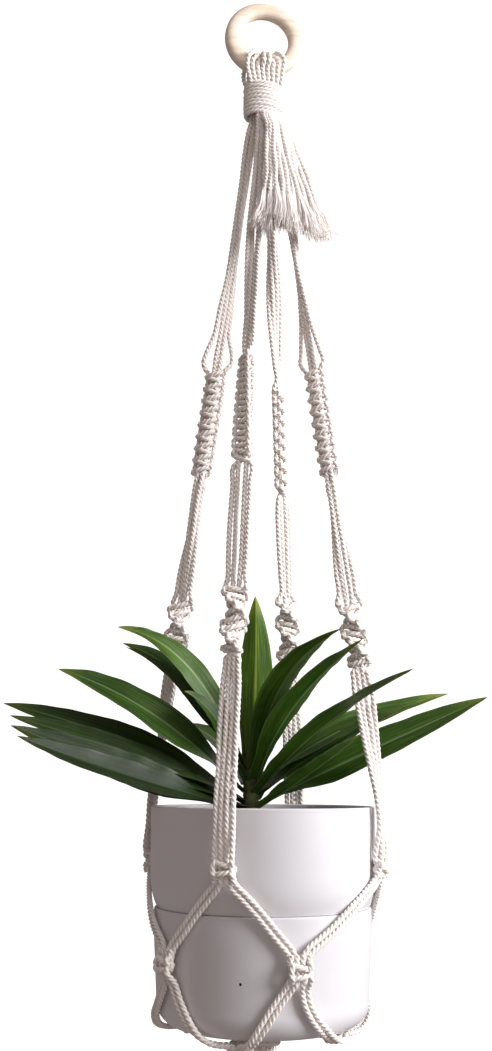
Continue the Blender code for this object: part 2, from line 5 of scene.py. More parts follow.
import bpy
import numpy as np
from mathutils import Matrix

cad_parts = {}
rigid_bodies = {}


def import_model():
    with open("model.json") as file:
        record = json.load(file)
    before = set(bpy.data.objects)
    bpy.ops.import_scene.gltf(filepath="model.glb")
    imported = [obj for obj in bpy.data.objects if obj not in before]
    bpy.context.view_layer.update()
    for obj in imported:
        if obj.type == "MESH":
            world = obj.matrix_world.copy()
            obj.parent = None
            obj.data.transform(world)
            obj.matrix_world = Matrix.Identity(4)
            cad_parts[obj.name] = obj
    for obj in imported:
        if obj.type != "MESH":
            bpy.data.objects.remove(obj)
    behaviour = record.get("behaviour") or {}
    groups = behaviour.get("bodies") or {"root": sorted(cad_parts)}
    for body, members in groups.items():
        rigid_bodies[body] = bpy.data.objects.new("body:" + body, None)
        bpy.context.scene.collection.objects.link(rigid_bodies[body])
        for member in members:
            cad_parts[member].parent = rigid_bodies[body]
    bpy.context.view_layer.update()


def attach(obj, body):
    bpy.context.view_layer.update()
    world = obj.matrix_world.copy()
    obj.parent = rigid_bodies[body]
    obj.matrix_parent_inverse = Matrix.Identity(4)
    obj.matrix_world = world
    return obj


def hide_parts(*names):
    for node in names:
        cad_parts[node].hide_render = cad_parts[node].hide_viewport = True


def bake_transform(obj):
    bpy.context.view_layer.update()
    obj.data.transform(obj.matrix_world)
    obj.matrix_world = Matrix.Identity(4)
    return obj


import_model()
mm = 0.001
scene = bpy.context.scene


# ---- places round the hanger's centre line; azimuth 0 looks to -Y and grows towards +X ----

def outward(azimuth):
    angle = math.radians(azimuth)
    return np.array([math.sin(angle), -math.cos(angle), 0.0])


def sideways(azimuth):
    angle = math.radians(azimuth)
    return np.array([math.cos(angle), math.sin(angle), 0.0])


def place(azimuth, radius, height, side=0.0):
    return outward(azimuth) * radius + sideways(azimuth) * side + np.array([0.0, 0.0, height])


def unit(vector):
    return vector / max(np.linalg.norm(vector), 1e-12)


def mix(low, high, share):
    return low + (high - low) * share


def smoothStep(share):
    share = min(1.0, max(0.0, share))
    return share * share * (3.0 - 2.0 * share)


def wobble(seed, size, waves=3):
    # a smooth wandering value: a few sine waves with seeded phases
    pick = random.Random(seed)
    parts = [(pick.uniform(0.6, 1.0) / (n + 1), pick.uniform(0.7, 1.3) * (n + 1), pick.uniform(0, 6.28))
             for n in range(waves)]
    total = sum(part[0] for part in parts)
    return lambda share: size * sum(a * math.sin(6.28 * f * share + p) for a, f, p in parts) / total


# ---- camera, lights and floor ----

cameraSet = {"azimuth": -10.0, "distance": 1.019, "height": -0.700, "pitch": 11.84, "turn": 0.78,
             "roll": -0.26, "lens": 41.6}


def addCamera():
    data = bpy.data.cameras.new("camera")
    data.sensor_fit = "VERTICAL"
    data.sensor_height = 36.0
    data.lens = cameraSet["lens"]
    camera = bpy.data.objects.new("camera", data)
    scene.collection.objects.link(camera)
    spot = outward(cameraSet["azimuth"]) * cameraSet["distance"]
    camera.location = (spot[0], spot[1], cameraSet["height"])
    camera.rotation_euler = (math.radians(90 + cameraSet["pitch"]), math.radians(cameraSet["roll"]),
                             math.radians(cameraSet["azimuth"] + cameraSet["turn"]))
    scene.camera = camera


lightSet = {"aim": (0.0, 0.0, -0.55), "world": 0.26, "worldColour": (1.0, 0.86, 0.83),
            "keyPower": 80.0, "keySize": 1.3, "keyFrom": (1.85, -1.15, 0.12), "keyColour": (0.97, 0.975, 1.0),
            "rimPower": 6.0, "rimSize": 0.8, "rimFrom": (1.3, 1.2, 0.2),
            "cordPower": 9.0, "cordSize": 1.4, "cordFrom": (0.35, -1.7, 0.1), "cordAim": (0.0, 0.0, -0.45)}
stageSet = {"floorHeight": -1.12, "floorRadius": 7.0, "floorGlow": 0.93, "domeRadius": 6.8,
            "domeHeight": -0.5}


def addAreaLight(name, spot, aim, power, size, colour=(1.0, 1.0, 1.0)):
    data = bpy.data.lights.new(name, "AREA")
    data.energy = power
    data.size = size
    data.color = colour
    lamp = bpy.data.objects.new(name, data)
    scene.collection.objects.link(lamp)
    lamp.location = spot
    toward = unit(np.array(spot) - np.array(aim))
    lamp.rotation_euler = (math.acos(toward[2]), 0.0, math.atan2(toward[0], -toward[1]))
    return lamp


def plainMaterial(name, colour, strength):
    material = bpy.data.materials.new(name)
    material.use_nodes = True
    nodes = material.node_tree.nodes
    nodes.clear()
    glow = nodes.new("ShaderNodeEmission")
    glow.inputs["Color"].default_value = (*colour, 1.0)
    glow.inputs["Strength"].default_value = strength
    matt = nodes.new("ShaderNodeBsdfDiffuse")
    matt.inputs["Color"].default_value = (0.62, 0.62, 0.62, 1.0)
    both = nodes.new("ShaderNodeAddShader")
    out = nodes.new("ShaderNodeOutputMaterial")
    link = material.node_tree.links.new
    link(glow.outputs[0], both.inputs[0])
    link(matt.outputs[0], both.inputs[1])
    link(both.outputs[0], out.inputs["Surface"])
    return material


def addStage():
    world = bpy.data.worlds.new("studio")
    scene.world = world
    world.use_nodes = True
    background = world.node_tree.nodes["Background"]
    background.inputs["Color"].default_value = (*lightSet["worldColour"], 1.0)
    background.inputs["Strength"].default_value = lightSet["world"]
    addAreaLight("keyLight", lightSet["keyFrom"], lightSet["aim"], lightSet["keyPower"], lightSet["keySize"],
                 lightSet["keyColour"])
    addAreaLight("rimLight", lightSet["rimFrom"], lightSet["aim"], lightSet["rimPower"], lightSet["rimSize"])
    bpy.ops.mesh.primitive_circle_add(vertices=96, radius=stageSet["floorRadius"], fill_type="NGON",
                                      location=(0.0, 0.0, stageSet["floorHeight"]))
    floor = bpy.context.object
    floor.name = "floor"
    floor.data.materials.append(plainMaterial("paleFloor", (1.0, 1.0, 1.0), stageSet["floorGlow"]))
    bpy.ops.mesh.primitive_uv_sphere_add(segments=48, ring_count=24, radius=stageSet["domeRadius"],
                                         location=(0.0, 0.0, stageSet["domeHeight"]))
    dome = bpy.context.object
    dome.name = "backdrop"
    dome.data.materials.append(plainMaterial("paleBackdrop", (1.0, 1.0, 1.0), 1.0))
    dome.visible_shadow = False
    for sheet in (floor, dome):
        sheet.visible_diffuse = False
        sheet.visible_glossy = False
    scene.view_settings.view_transform = "Standard"


addCamera()
addStage()
print("camera, lights and floor are set")


# ---- finishes ----

def newMaterial(name):
    material = bpy.data.materials.new(name)
    material.use_nodes = True
    tree = material.node_tree
    return material, tree.nodes, tree.links.new, tree.nodes["Principled BSDF"]


def colourRamp(nodes, stops):
    ramp = nodes.new("ShaderNodeValToRGB")
    ramp.color_ramp.elements[0].position = stops[0][0]
    ramp.color_ramp.elements[0].color = (*stops[0][1], 1.0)
    ramp.color_ramp.elements[1].position = stops[-1][0]
    ramp.color_ramp.elements[1].color = (*stops[-1][1], 1.0)
    for position, colour in stops[1:-1]:
        ramp.color_ramp.elements.new(position).color = (*colour, 1.0)
    return ramp


def noiseNode(nodes, scale, detail=3.0, roughness=0.55):
    noise = nodes.new("ShaderNodeTexNoise")
    noise.inputs["Scale"].default_value = scale
    noise.inputs["Detail"].default_value = detail
    noise.inputs["Roughness"].default_value = roughness
    return noise


def mixColour(nodes, kind="MIX", factor=1.0):
    blend = nodes.new("ShaderNodeMix")
    blend.data_type = "RGBA"
    blend.blend_type = kind
    blend.inputs["Factor"].default_value = factor
    return blend.inputs["Factor"], blend.inputs[6], blend.inputs[7], blend.outputs[2]


def attributeNode(nodes, name):
    node = nodes.new("ShaderNodeAttribute")
    node.attribute_name = name
    return node


def addBump(nodes, link, shader, texture, strength, distance):
    bump = nodes.new("ShaderNodeBump")
    bump.inputs["Strength"].default_value = strength
    bump.inputs["Distance"].default_value = distance
    link(texture.outputs["Fac"], bump.inputs["Height"])
    link(bump.outputs["Normal"], shader.inputs["Normal"])


def stretchedNoise(nodes, link, source, scale, noise, turn=0.0):
    # noise read through coordinates that are scaled, and turned about Y
    stretch = nodes.new("ShaderNodeMapping")
    stretch.inputs["Scale"].default_value = scale
    stretch.inputs["Rotation"].default_value = (0.0, turn, 0.0)
    link(source, stretch.inputs["Vector"])
    link(stretch.outputs["Vector"], noise.inputs["Vector"])
    return noise


def bandFactor(nodes, link, source, start, end, most=1.0):
    band = nodes.new("ShaderNodeMapRange")
    band.inputs["From Min"].default_value = start
    band.inputs["From Max"].default_value = end
    band.inputs["To Max"].default_value = most
    link(source, band.inputs["Value"])
    return band.outputs["Result"]


def tintedWhere(nodes, link, factor, base, colour):
    mixFactor, lower, upper, mixed = mixColour(nodes)
    link(factor, mixFactor)
    link(base, lower)
    upper.default_value = (*colour, 1.0)
    return mixed


# the colours after crown are painted shade: darker from the ply crowns into the grooves between plies
cottonLook = {"crown": (0.94, 0.90, 0.875), "grooveShade": (0.76, 0.68, 0.62), "warmShade": (0.87, 0.80, 0.755),
              "fibreScale": 2.6, "fibreStretch": 0.22, "fibreBump": 0.45, "roughness": 0.92}


def cottonMaterial():
    # yarn coordinates ride on the mesh: ropeLay runs round and along each ply, grooveShade is 1 between
    # plies, where painted shade darkens the colour
    material, nodes, link, shader = newMaterial("twistedCotton")
    lay = attributeNode(nodes, "ropeLay")
    grooveShade = attributeNode(nodes, "grooveShade")
    fibres = stretchedNoise(nodes, link, lay.outputs["Vector"], (1.0, 1.0, cottonLook["fibreStretch"]),
                            noiseNode(nodes, cottonLook["fibreScale"], 4.0, 0.65))
    slubs = noiseNode(nodes, 0.10, 2.0)
    link(lay.outputs["Vector"], slubs.inputs["Vector"])
    # painted shade: the colour darkens from the ply crown into the groove between plies
    depth = colourRamp(nodes, [(0.10, cottonLook["crown"]), (0.55, cottonLook["warmShade"]),
                               (1.0, cottonLook["grooveShade"])])
    link(grooveShade.outputs["Fac"], depth.inputs["Fac"])
    fleck = colourRamp(nodes, [(0.30, (0.86, 0.83, 0.81)), (0.60, (1.0, 1.0, 1.0))])
    link(fibres.outputs["Fac"], fleck.inputs["Fac"])
    _, lower, upper, shaded = mixColour(nodes, "MULTIPLY", 0.75)
    link(depth.outputs["Color"], lower)
    link(fleck.outputs["Color"], upper)
    tint = colourRamp(nodes, [(0.35, (0.95, 0.93, 0.91)), (0.65, (1.0, 1.0, 1.0))])
    link(slubs.outputs["Fac"], tint.inputs["Fac"])
    _, lowerTint, upperTint, tinted = mixColour(nodes, "MULTIPLY", 0.8)
    link(shaded, lowerTint)
    link(tint.outputs["Color"], upperTint)
    link(tinted, shader.inputs["Base Color"])
    addBump(nodes, link, shader, fibres, cottonLook["fibreBump"], 0.00035)
    shader.inputs["Roughness"].default_value = cottonLook["roughness"]
    shader.inputs["Specular IOR Level"].default_value = 0.15
    shader.inputs["Sheen Weight"].default_value = 0.25
    shader.inputs["Sheen Roughness"].default_value = 0.6
    return material


cotton = cottonMaterial()


# ---- rope: three plies laid left-handed, swept along a smooth route ----

ropeSet = {"diameter": 4.6, "lay": 12.5, "ring": 1.25, "around": 12, "plyShare": 0.545}


def smoothRoute(points, spacing):
    # a curve through every point, even where they are unevenly spaced, cut into equal steps
    points = np.asarray(points, dtype=float)
    gaps = np.linalg.norm(np.diff(points, axis=0), axis=1)
    keep = np.concatenate([[True], gaps > 1e-6])
    points = points[keep]
    gaps = np.linalg.norm(np.diff(points, axis=0), axis=1)
    knots = np.sqrt(gaps)
    slopes = np.diff(points, axis=0) / knots[:, None]
    tangents = np.empty_like(points)
    tangents[0] = slopes[0]
    tangents[-1] = slopes[-1]
    before = knots[:-1, None]
    after = knots[1:, None]
    tangents[1:-1] = (slopes[:-1] * after + slopes[1:] * before) / (before + after)
    dense = []
    for index, gap in enumerate(gaps):
        count = max(3, int(gap / spacing * 3))
        t = np.linspace(0.0, 1.0, count, endpoint=False)[:, None]
        width = knots[index]
        leaving = (t ** 3 - 2 * t ** 2 + t) * width * tangents[index]
        arriving = (t ** 3 - t ** 2) * width * tangents[index + 1]
        dense.append((2 * t ** 3 - 3 * t ** 2 + 1) * points[index] + leaving
                     + (3 * t ** 2 - 2 * t ** 3) * points[index + 1] + arriving)
    dense = np.vstack(dense + [points[-1:]])
    run = np.concatenate([[0.0], np.cumsum(np.linalg.norm(np.diff(dense, axis=0), axis=1))])
    steps = max(2, int(round(run[-1] / spacing)))
    marks = np.linspace(0.0, run[-1], steps + 1)
    return np.stack([np.interp(marks, run, dense[:, axis]) for axis in range(3)], axis=1), run[-1]


def routeFrames(route):
    tangents = np.gradient(route, axis=0)
    tangents /= np.linalg.norm(tangents, axis=1)[:, None]
    first = np.cross(tangents[0], [0.31, 0.77, 0.55])
    normals = [unit(first)]
    for tangent in tangents[1:]:
        last = normals[-1]
        normals.append(unit(last - tangent * np.dot(last, tangent)))
    normals = np.array(normals)
    return tangents, normals, np.cross(tangents, normals)


def sweepRope(points, diameter, phase, offset):
    # returns vertices, faces, yarn coordinates and groove depth of one cord, in metres; the groove depth
    # drives painted shade in the grooves
    radius = (diameter or ropeSet["diameter"]) * mm / 2
    around = ropeSet["around"]
    route, length = smoothRoute(points, ropeSet["ring"] * mm)
    _, normals, binormals = routeFrames(route)
    angles = np.arange(around) * 2 * math.pi / around
    ply = ropeSet["plyShare"] * radius
    reach = radius - ply
    fromPly = (angles + math.pi / 3) % (2 * math.pi / 3) - math.pi / 3
    radii = reach * np.cos(fromPly) + np.sqrt(np.maximum(ply ** 2 - (reach * np.sin(fromPly)) ** 2, 0.0))
    runs = np.linspace(0.0, length, len(route))
    turns = phase - 2 * math.pi * runs / (ropeSet["lay"] * mm)
    spin = angles[None, :] + turns[:, None]
    verts = (route[:, None, :] + (radii[None, :] * np.cos(spin))[:, :, None] * normals[:, None, :]
             + (radii[None, :] * np.sin(spin))[:, :, None] * binormals[:, None, :])
    rings = len(route)
    low = np.arange(rings - 1)[:, None] * around
    here = np.arange(around)[None, :]
    nextOne = (here + 1) % around
    quads = np.stack([low + here, low + nextOne, low + around + nextOne, low + around + here], axis=2)
    faces = quads.reshape(-1, 4).tolist()
    faces.append(list(range(around))[::-1])
    faces.append([(rings - 1) * around + n for n in range(around)])
    lay = np.empty((rings, around, 3))
    lay[:, :, 0] = np.cos(angles) * 2.3
    lay[:, :, 1] = np.sin(angles) * 2.3
    lay[:, :, 2] = runs[:, None] / mm + offset
    grooveShade = np.broadcast_to((radii.max() - radii) / (radii.max() - radii.min()), (rings, around))
    return verts.reshape(-1, 3), faces, lay.reshape(-1, 3), grooveShade.reshape(-1).copy()


def joinParts(name, parts, material):
    verts = np.vstack([part[0] for part in parts])
    faces = []
    start = 0
    for part in parts:
        faces += [[n + start for n in face] for face in part[1]]
        start += len(part[0])
    mesh = bpy.data.meshes.new(name)
    mesh.from_pydata(verts.tolist(), [], faces)
    lay = mesh.attributes.new("ropeLay", "FLOAT_VECTOR", "POINT")
    lay.data.foreach_set("vector", np.vstack([part[2] for part in parts]).astype(np.float32).ravel())
    grooveShade = mesh.attributes.new("grooveShade", "FLOAT", "POINT")
    grooveShade.data.foreach_set("value", np.concatenate([part[3] for part in parts]).astype(np.float32))
    mesh.validate()
    mesh.shade_smooth()
    mesh.set_sharp_from_angle(angle=math.radians(75))
    mesh.materials.append(material)
    piece = bpy.data.objects.new(name, mesh)
    scene.collection.objects.link(piece)
    return piece


def ropePiece(name, routes, diameter=None):
    pick = random.Random(name)
    parts = [sweepRope(route, diameter, pick.uniform(0, 6.28), pick.uniform(0, 900)) for route in routes]
    piece = joinParts(name, parts, cotton)
    return piece


# ---- knots, in a knot's own (across, through, down) millimetres ----

def squareKnots(count, pitch, front=4.3, back=4.3, wide=1.0):
    # one holding cord passes in front each time, the other behind, and they hook each other at both sides
    over = []
    under = []
    for index in range(count):
        way = 1 if index % 2 == 0 else -1
        top = index * pitch
        over += [(-way * 8.3, -1.0, top), (-way * 7.0, front * 0.32, top + 0.24 * pitch),
                 (-way * 3.4, front * 0.9, top + 0.42 * pitch), (0.0, front, top + 0.52 * pitch),
                 (way * 3.4, front * 0.88, top + 0.62 * pitch), (way * 6.4, front * 0.15, top + 0.76 * pitch)]
        under += [(way * 7.5, front * 0.88, top), (way * 7.2, front * 0.98, top + 0.45 * pitch),
                  (way * 6.2, front * 0.55, top + 0.86 * pitch), (way * 5.2, -back * 0.42, top + 1.0 * pitch),
                  (way * 2.6, -back * 0.97, top + 0.85 * pitch),
                  (-way * 2.6, -back * 0.97, top + 0.57 * pitch),
                  (-way * 5.4, -back * 0.38, top + 0.34 * pitch),
                  (-way * 6.1, front * 0.42, top + 0.22 * pitch),
                  (-way * 7.0, front * 0.95, top + 0.50 * pitch)]
    last = 1 if count % 2 == 0 else -1
    over.append((-last * 8.0, -0.6, count * pitch))
    under.append((last * 7.6, front * 0.5, count * pitch))
    return [(a * wide, b, d) for a, b, d in over], [(a * wide, b, d) for a, b, d in under]


def halfKnots(count, pitch, front=4.2, back=4.2, wide=1.0):
    # always the left cord over the front, so the two cords take turns and the run of knots spirals
    first = []
    second = []
    for index in range(count):
        top = index * pitch
        over = [(-8.2, 0.4, top), (-7.0, front * 0.38, top + 0.24 * pitch),
                (-3.4, front * 0.92, top + 0.42 * pitch), (0.0, front, top + 0.52 * pitch),
                (3.4, front * 0.88, top + 0.62 * pitch), (6.4, front * 0.12, top + 0.78 * pitch)]
        under = [(8.2, 0.4, top), (7.6, front * 0.85, top + 0.34 * pitch),
                 (6.4, front * 0.62, top + 0.82 * pitch), (5.2, -back * 0.42, top + 1.0 * pitch),
                 (2.6, -back * 0.97, top + 0.85 * pitch),
                 (-2.6, -back * 0.97, top + 0.57 * pitch), (-5.4, -back * 0.38, top + 0.34 * pitch),
                 (-6.2, front * 0.45, top + 0.24 * pitch), (-7.2, front * 0.85, top + 0.55 * pitch)]
        if index % 2 == 0:
            first += over
            second += under
        else:
            first += under
            second += over
    return [(a * wide, b, d) for a, b, d in first], [(a * wide, b, d) for a, b, d in second]


# ---- the four legs ----

levels = {"wrapTop": -70.8, "wrapFoot": -107.5, "netKnot": -757.0, "legEnd": -774.5, "rim": -720.6}
# turns of the flat of each leg: top and foot of its band of knots, above the spiral, and where it ends
legSet = {
    "front": {"azimuth": -27.0, "turns": (50.0, 10.0, 14.0, -360.0),
             "band": -347.0, "spiral": -550.0, "flare": 8.2},
    "right": {"azimuth": 63.0, "turns": (-73.0, -73.0, -103.0, -540.0),
             "band": -351.0, "spiral": -556.0, "flare": 12.0},
    "back": {"azimuth": 153.0, "turns": (-107.0, -97.0, -52.0, -360.0),
             "band": -350.0, "spiral": -542.0, "flare": 7.4},
    "left": {"azimuth": -117.0, "turns": (82.0, 82.0, 107.0, -180.0),
             "band": -343.0, "spiral": -549.0, "flare": 12.5},
}
bandSet = {"knots": 17, "pitch": 5.4, "wide": 0.99}
spiralSet = {"knots": 9, "pitch": 5.8, "turn": -360.0, "wide": 1.22}
netKnotSet = {"knots": 2, "pitch": 6.4}
bandLength = bandSet["knots"] * bandSet["pitch"]
spiralLength = spiralSet["knots"] * spiralSet["pitch"]
topRadius = 10.3
rimRadius = 97.9


def legRadius(height):
    share = (height - levels["wrapFoot"]) / (levels["rim"] - levels["wrapFoot"])
    return mix(topRadius, rimRadius, min(1.0, max(0.0, share)))


def legTurn(leg, height):
    top, foot, middle, end = leg["turns"]
    bandFoot = leg["band"] - bandLength
    spiralEnd = leg["spiral"] - spiralLength
    heights = [levels["wrapFoot"], -230.0, leg["band"], bandFoot, bandFoot - 14.0, leg["spiral"], spiralEnd,
               spiralEnd - 20.0, -716.0, levels["legEnd"]]
    turned = middle + spiralSet["turn"]
    turns = [0.0, 0.0, top, foot, middle, middle, turned, mix(turned, end, 0.1), end, end]
    return float(np.interp(-height, [-h for h in heights], turns))


def legPoint(leg, across, through, height):
    angle = math.radians(legTurn(leg, height))
    out = outward(leg["azimuth"])
    side = sideways(leg["azimuth"])
    wide = side * math.cos(angle) + out * math.sin(angle)
    thin = out * math.cos(angle) - side * math.sin(angle)
    centre = place(leg["azimuth"], legRadius(height), height)
    return (centre + wide * across + thin * through) * mm


def middleLanes(name, share):
    # where the four cords run between the band (share 0) and the spiral (share 1): across and through
    if name == "front":
        return [(-8.3, 0.3), (-3.6, -0.3), (3.6, 0.3), (8.3, -0.3)]
    if name == "back":
        wide = mix(6.6, 5.4, share)
        return [(-wide, 0.4), (-wide * 0.34, -0.5), (wide * 0.34, 0.5), (wide, -0.4)]
    opened = smoothStep((share - 0.15) / 0.8)
    bunched = ((-2.4, 2.3), (-2.3, -2.4), (2.4, -2.3), (2.3, 2.4))
    flat = ((-7.4, 0.3), (-2.6, -0.4), (2.6, 0.4), (7.4, -0.3))
    return [(mix(a[0], b[0], opened), mix(a[1], b[1], opened)) for a, b in zip(bunched, flat)]


def legCords(name, leg):
    # each cord from inside the binding to just below its first net knot
    band = squareKnots(bandSet["knots"], bandSet["pitch"], front=3.9, back=3.9, wide=bandSet["wide"])
    spiral = halfKnots(spiralSet["knots"], spiralSet["pitch"], wide=spiralSet["wide"])
    netKnot = squareKnots(netKnotSet["knots"], netKnotSet["pitch"], front=4.0, back=3.6)
    corners = ((-2.3, 2.3), (-2.3, -2.3), (2.3, -2.3), (2.3, 2.3))
    lanes = (-6.9, -2.3, 2.3, 6.9)
    bandTop = leg["band"]
    bandFoot = bandTop - bandLength
    spiralTop = leg["spiral"]
    spiralEnd = spiralTop - spiralLength
    routes = []
    for number in range(4):
        lane = lanes[number]
        cornerA, cornerB = corners[number]
        outer = number in (0, 3)
        hold = 0 if number == 0 else 1
        way = math.copysign(1.0, lane)
        shiftA = wobble(f"{name}{number}a", 1.2)
        shiftB = wobble(f"{name}{number}b", 1.0)
        points = [(cornerA * 0.8, cornerB * 0.8, -99.0), (cornerA * 0.85, cornerB * 0.85, -107.0)]
        for height in (-118.0, -140.0, -165.0, -195.0, -225.0, -255.0, -285.0, -310.0):
            share = smoothStep((-height - 165.0) / 150.0)
            points.append((mix(cornerA, lane, share) + shiftA(height / 240.0),
                           mix(cornerB, 0.0, share) + shiftB(height / 240.0), height))
        if outer:
            points += [(way * mix(7.2, leg["flare"], 0.75), 0.0, bandTop + 17.0),
                       (way * leg["flare"], 0.0, bandTop + 6.5)]
            points += [(a, b, bandTop - d) for a, b, d in band[hold][hold:]]
        else:
            points += [(lane, 0.0, bandTop + 15.0), (way * 2.1, 0.0, bandTop)]
            points += [(way * 2.0, 0.0, bandTop - bandLength * share)
                       for share in (0.15, 0.35, 0.55, 0.75, 0.95)]
        for step in range(7):
            share = step / 6
            laneA, laneB = middleLanes(name, share)[number]
            height = mix(bandFoot - 9.0, spiralTop + 7.0, share)
            drift = height / 170.0
            points.append((laneA + shiftA(drift) * 0.4, laneB + shiftB(drift) * 0.4, height))
        if outer:
            points += [(a, b, spiralTop - d) for a, b, d in spiral[hold]]
        else:
            points += [(way * 2.0, 0.0, spiralTop - spiralLength * share) for share in (0.1, 0.35, 0.6, 0.9)]
        points += [(way * (5.4 if outer else 2.1), 0.0, spiralEnd - 5.0),
                   (way * (6.0 if outer else 2.1), 0.0, spiralEnd - 12.0)]
        for height in (-626.0, -645.0, -668.0, -690.0, -712.0, -735.0):
            points.append((lane + shiftA(height / 130.0) * 0.5, shiftB(height / 130.0) * 0.5, height))
        if outer:
            points += [(a, b, levels["netKnot"] - 0.6 - d) for a, b, d in netKnot[hold][hold:]]
            points.append((way * 7.2, -0.4, levels["legEnd"]))
        else:
            points += [(lane, 0.0, -752.0), (lane * 0.95, 0.0, -763.0), (lane * 1.05, -0.4, levels["legEnd"])]
        routes.append([legPoint(leg, *point) for point in points])
    return routes


for legName, leg in legSet.items():
    legPiece = ropePiece(f"{legName}_leg_cords", legCords(legName, leg))
    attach(legPiece, f"{legName}_leg")
    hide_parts(*[f"{legName}_{part}"
                            for part in ("upper_cords", "knot_band", "middle_cords", "lower_cords")])
print("four legs are knotted")


# ---- the net round the pot: diagonals, side knots, cords under the base ----

sideSet = {"front_right": 7.0, "back_right": 108.0, "back_left": 198.0, "front_left": -62.0}
# early or late towards the next knot
pairSwing = {("front_right", "front"): 0.65, ("front_right", "right"): 1.6}
sideKnotSet = {"knots": 2, "pitch": 6.6, "top": -829.8, "radius": 93.0}
netRoute = ((-764.0, 97.6, 0.0), (-770.5, 97.2, 0.0), (-776.5, 95.2, 0.04), (-784.0, 92.8, 0.19),
            (-792.0, 91.2, 0.36), (-800.0, 90.6, 0.52), (-808.0, 90.6, 0.67), (-816.0, 90.8, 0.83),
            (-823.0, 91.4, 0.96), (-830.0, 92.4, 1.0), (-834.5, 93.0, 1.0))
baseRoute = ((89.6, -850.0, 0.02), (88.6, -860.0, 0.12), (87.6, -870.0, 0.25), (86.2, -878.0, 0.38),
             (82.8, -885.2, 0.52), (77.2, -889.8, 0.68), (70.8, -891.6, 0.86), (66.0, -892.2, 1.0))


def shortTurn(start, end):
    return (end - start + 180.0) % 360.0 - 180.0


def pairRoutes(stations):
    # two cords side by side, flat on the surface; a station is (point, azimuth, out direction)
    points = np.array([station[0] for station in stations])
    along = np.gradient(points, axis=0)
    routes = ([], [])
    for index, (point, azimuth, out) in enumerate(stations):
        run = unit(along[index])
        side = unit(np.cross(unit(out - run * np.dot(out, run)), run))
        for half, route in zip((-1, 1), routes):
            route.append((point + side * half * 2.3) * mm)
    return routes


def diagonalStations(legAzimuth, sideAzimuth):
    turn = shortTurn(legAzimuth, sideAzimuth)
    way = math.copysign(1.0, turn)
    stations = []
    for height, radius, share in netRoute:
        offset = math.degrees(4.8 / radius)
        azimuth = legAzimuth + way * mix(offset, abs(turn) - offset, share)
        stations.append((place(azimuth, radius, height), azimuth, outward(azimuth)))
    return stations


def baseStations(sideAzimuth, legAzimuth, swing):
    turn = shortTurn(sideAzimuth, legAzimuth)
    way = math.copysign(1.0, turn)
    stations = []
    for radius, height, share in baseRoute:
        share = share ** swing
        offset = math.degrees(4.9 / radius)
        azimuth = sideAzimuth + way * mix(offset, abs(turn) - offset, share)
        lean = min(1.0, max(0.0, (-868.0 - height) / 22.5))
        stations.append((place(azimuth, radius, height), azimuth,
                         unit(outward(azimuth) * (1.0 - lean) + np.array([0.0, 0.0, -lean]))))
    return stations


def sideKnotRoutes(name, azimuth, neighbours):
    # four cords tied at the side, then two pairs down the cup to the knots under the base
    front = 3.9
    knot = squareKnots(sideKnotSet["knots"], sideKnotSet["pitch"], front=front, back=3.6)
    lanes = (-6.9, -2.3, 2.3, 6.9)
    foot = sideKnotSet["top"] - sideKnotSet["knots"] * sideKnotSet["pitch"]
    tails = []
    for legName, legAzimuth in neighbours.items():
        pair = pairRoutes(baseStations(azimuth, legAzimuth, pairSwing.get((name, legName), 1.0)))
        tails += sorted(pair, key=lambda route: float(np.dot(route[0], sideways(azimuth))))
    tails.sort(key=lambda route: float(np.dot(route[0], sideways(azimuth))))
    routes = []
    for number, lane in enumerate(lanes):
        points = [(lane, 0.0, -824.5), (lane, 0.0, -828.0)]
        if number in (0, 3):
            holding = knot[0] if number == 0 else knot[1]
            points += [(a, b, sideKnotSet["top"] - d) for a, b, d in holding[(0 if number == 0 else 1):]]
        else:
            points += [(lane * 0.95, 0.0, -835.0), (lane, 0.0, foot)]
        head = [place(azimuth, sideKnotSet["radius"] + b, height, a) * mm for a, b, height in points]
        routes.append(head + tails[number])
    return routes


def strandsUnder(azimuth):
    # the knot under the base, then four cords on to the middle, where they turn down
    knot = squareKnots(2, 6.4, front=2.9, back=2.3, wide=0.98)
    routes = []
    lanes = (-6.9, -2.3, 2.3, 6.9)
    for number, lane in enumerate(lanes):
        outer = number in (0, 3)
        points = [(lane, -0.6, -4.0), (lane, -0.3, -1.0)]
        if outer:
            points += (knot[0] if number == 0 else knot[1])[(0 if number == 0 else 1):]
        else:
            points += [(lane * 0.95, 0.0, 6.4), (lane, 0.0, 12.8)]
        points += [(lane * 0.95, -1.4, 18.0), (lane * 0.86, -1.6, 28.0), (lane * 0.72, -1.2, 38.0),
                   (lane * 0.55, -0.4, 46.0)]
        route = [place(azimuth, 64.5 - down, -893.2 - through, across) * mm
                 for across, through, down in points]
        inner = 8.6 if outer else 4.4
        spin = lane * 2.6
        route += [place(azimuth + spin, inner + 3.6, -895.0) * mm,
                  place(azimuth + spin, inner + 0.4, -898.5) * mm,
                  place(azimuth + spin, inner, -904.0 - (number % 3)) * mm]
        routes.append(route)
    return routes


def threads(name, ends, count, length, spread, thickness, seed):
    # loose cotton fibres at cut cord ends; an end is (point, direction)
    pick = random.Random(seed)
    parts = []
    for point, direction in ends:
        direction = unit(direction)
        across = unit(np.cross(direction, [0.3, 0.8, 0.2]))
        through = np.cross(direction, across)
        for _ in range(count):
            angle = pick.uniform(0, 6.28)
            start = math.sqrt(pick.random()) * 1.9 * mm
            stop = start + pick.uniform(0.2, 1.0) * spread * mm
            reach = length * mm * pick.uniform(0.86, 1.04)
            lean = pick.uniform(-0.5, 0.5)
            route = []
            for step in range(6):
                share = step / 5
                radius = mix(start, stop, share ** 1.3)
                turn = angle + lean * share + 0.25 * math.sin(7 * share + angle)
                route.append(point + direction * (share * reach - 3 * mm)
                             + (across * math.cos(turn) + through * math.sin(turn)) * radius)
            width = thickness * mm * pick.uniform(0.7, 1.2)
            parts.append(thread(np.array(route), width, pick.uniform(0, 500)))
    return joinParts(name, parts, cotton)


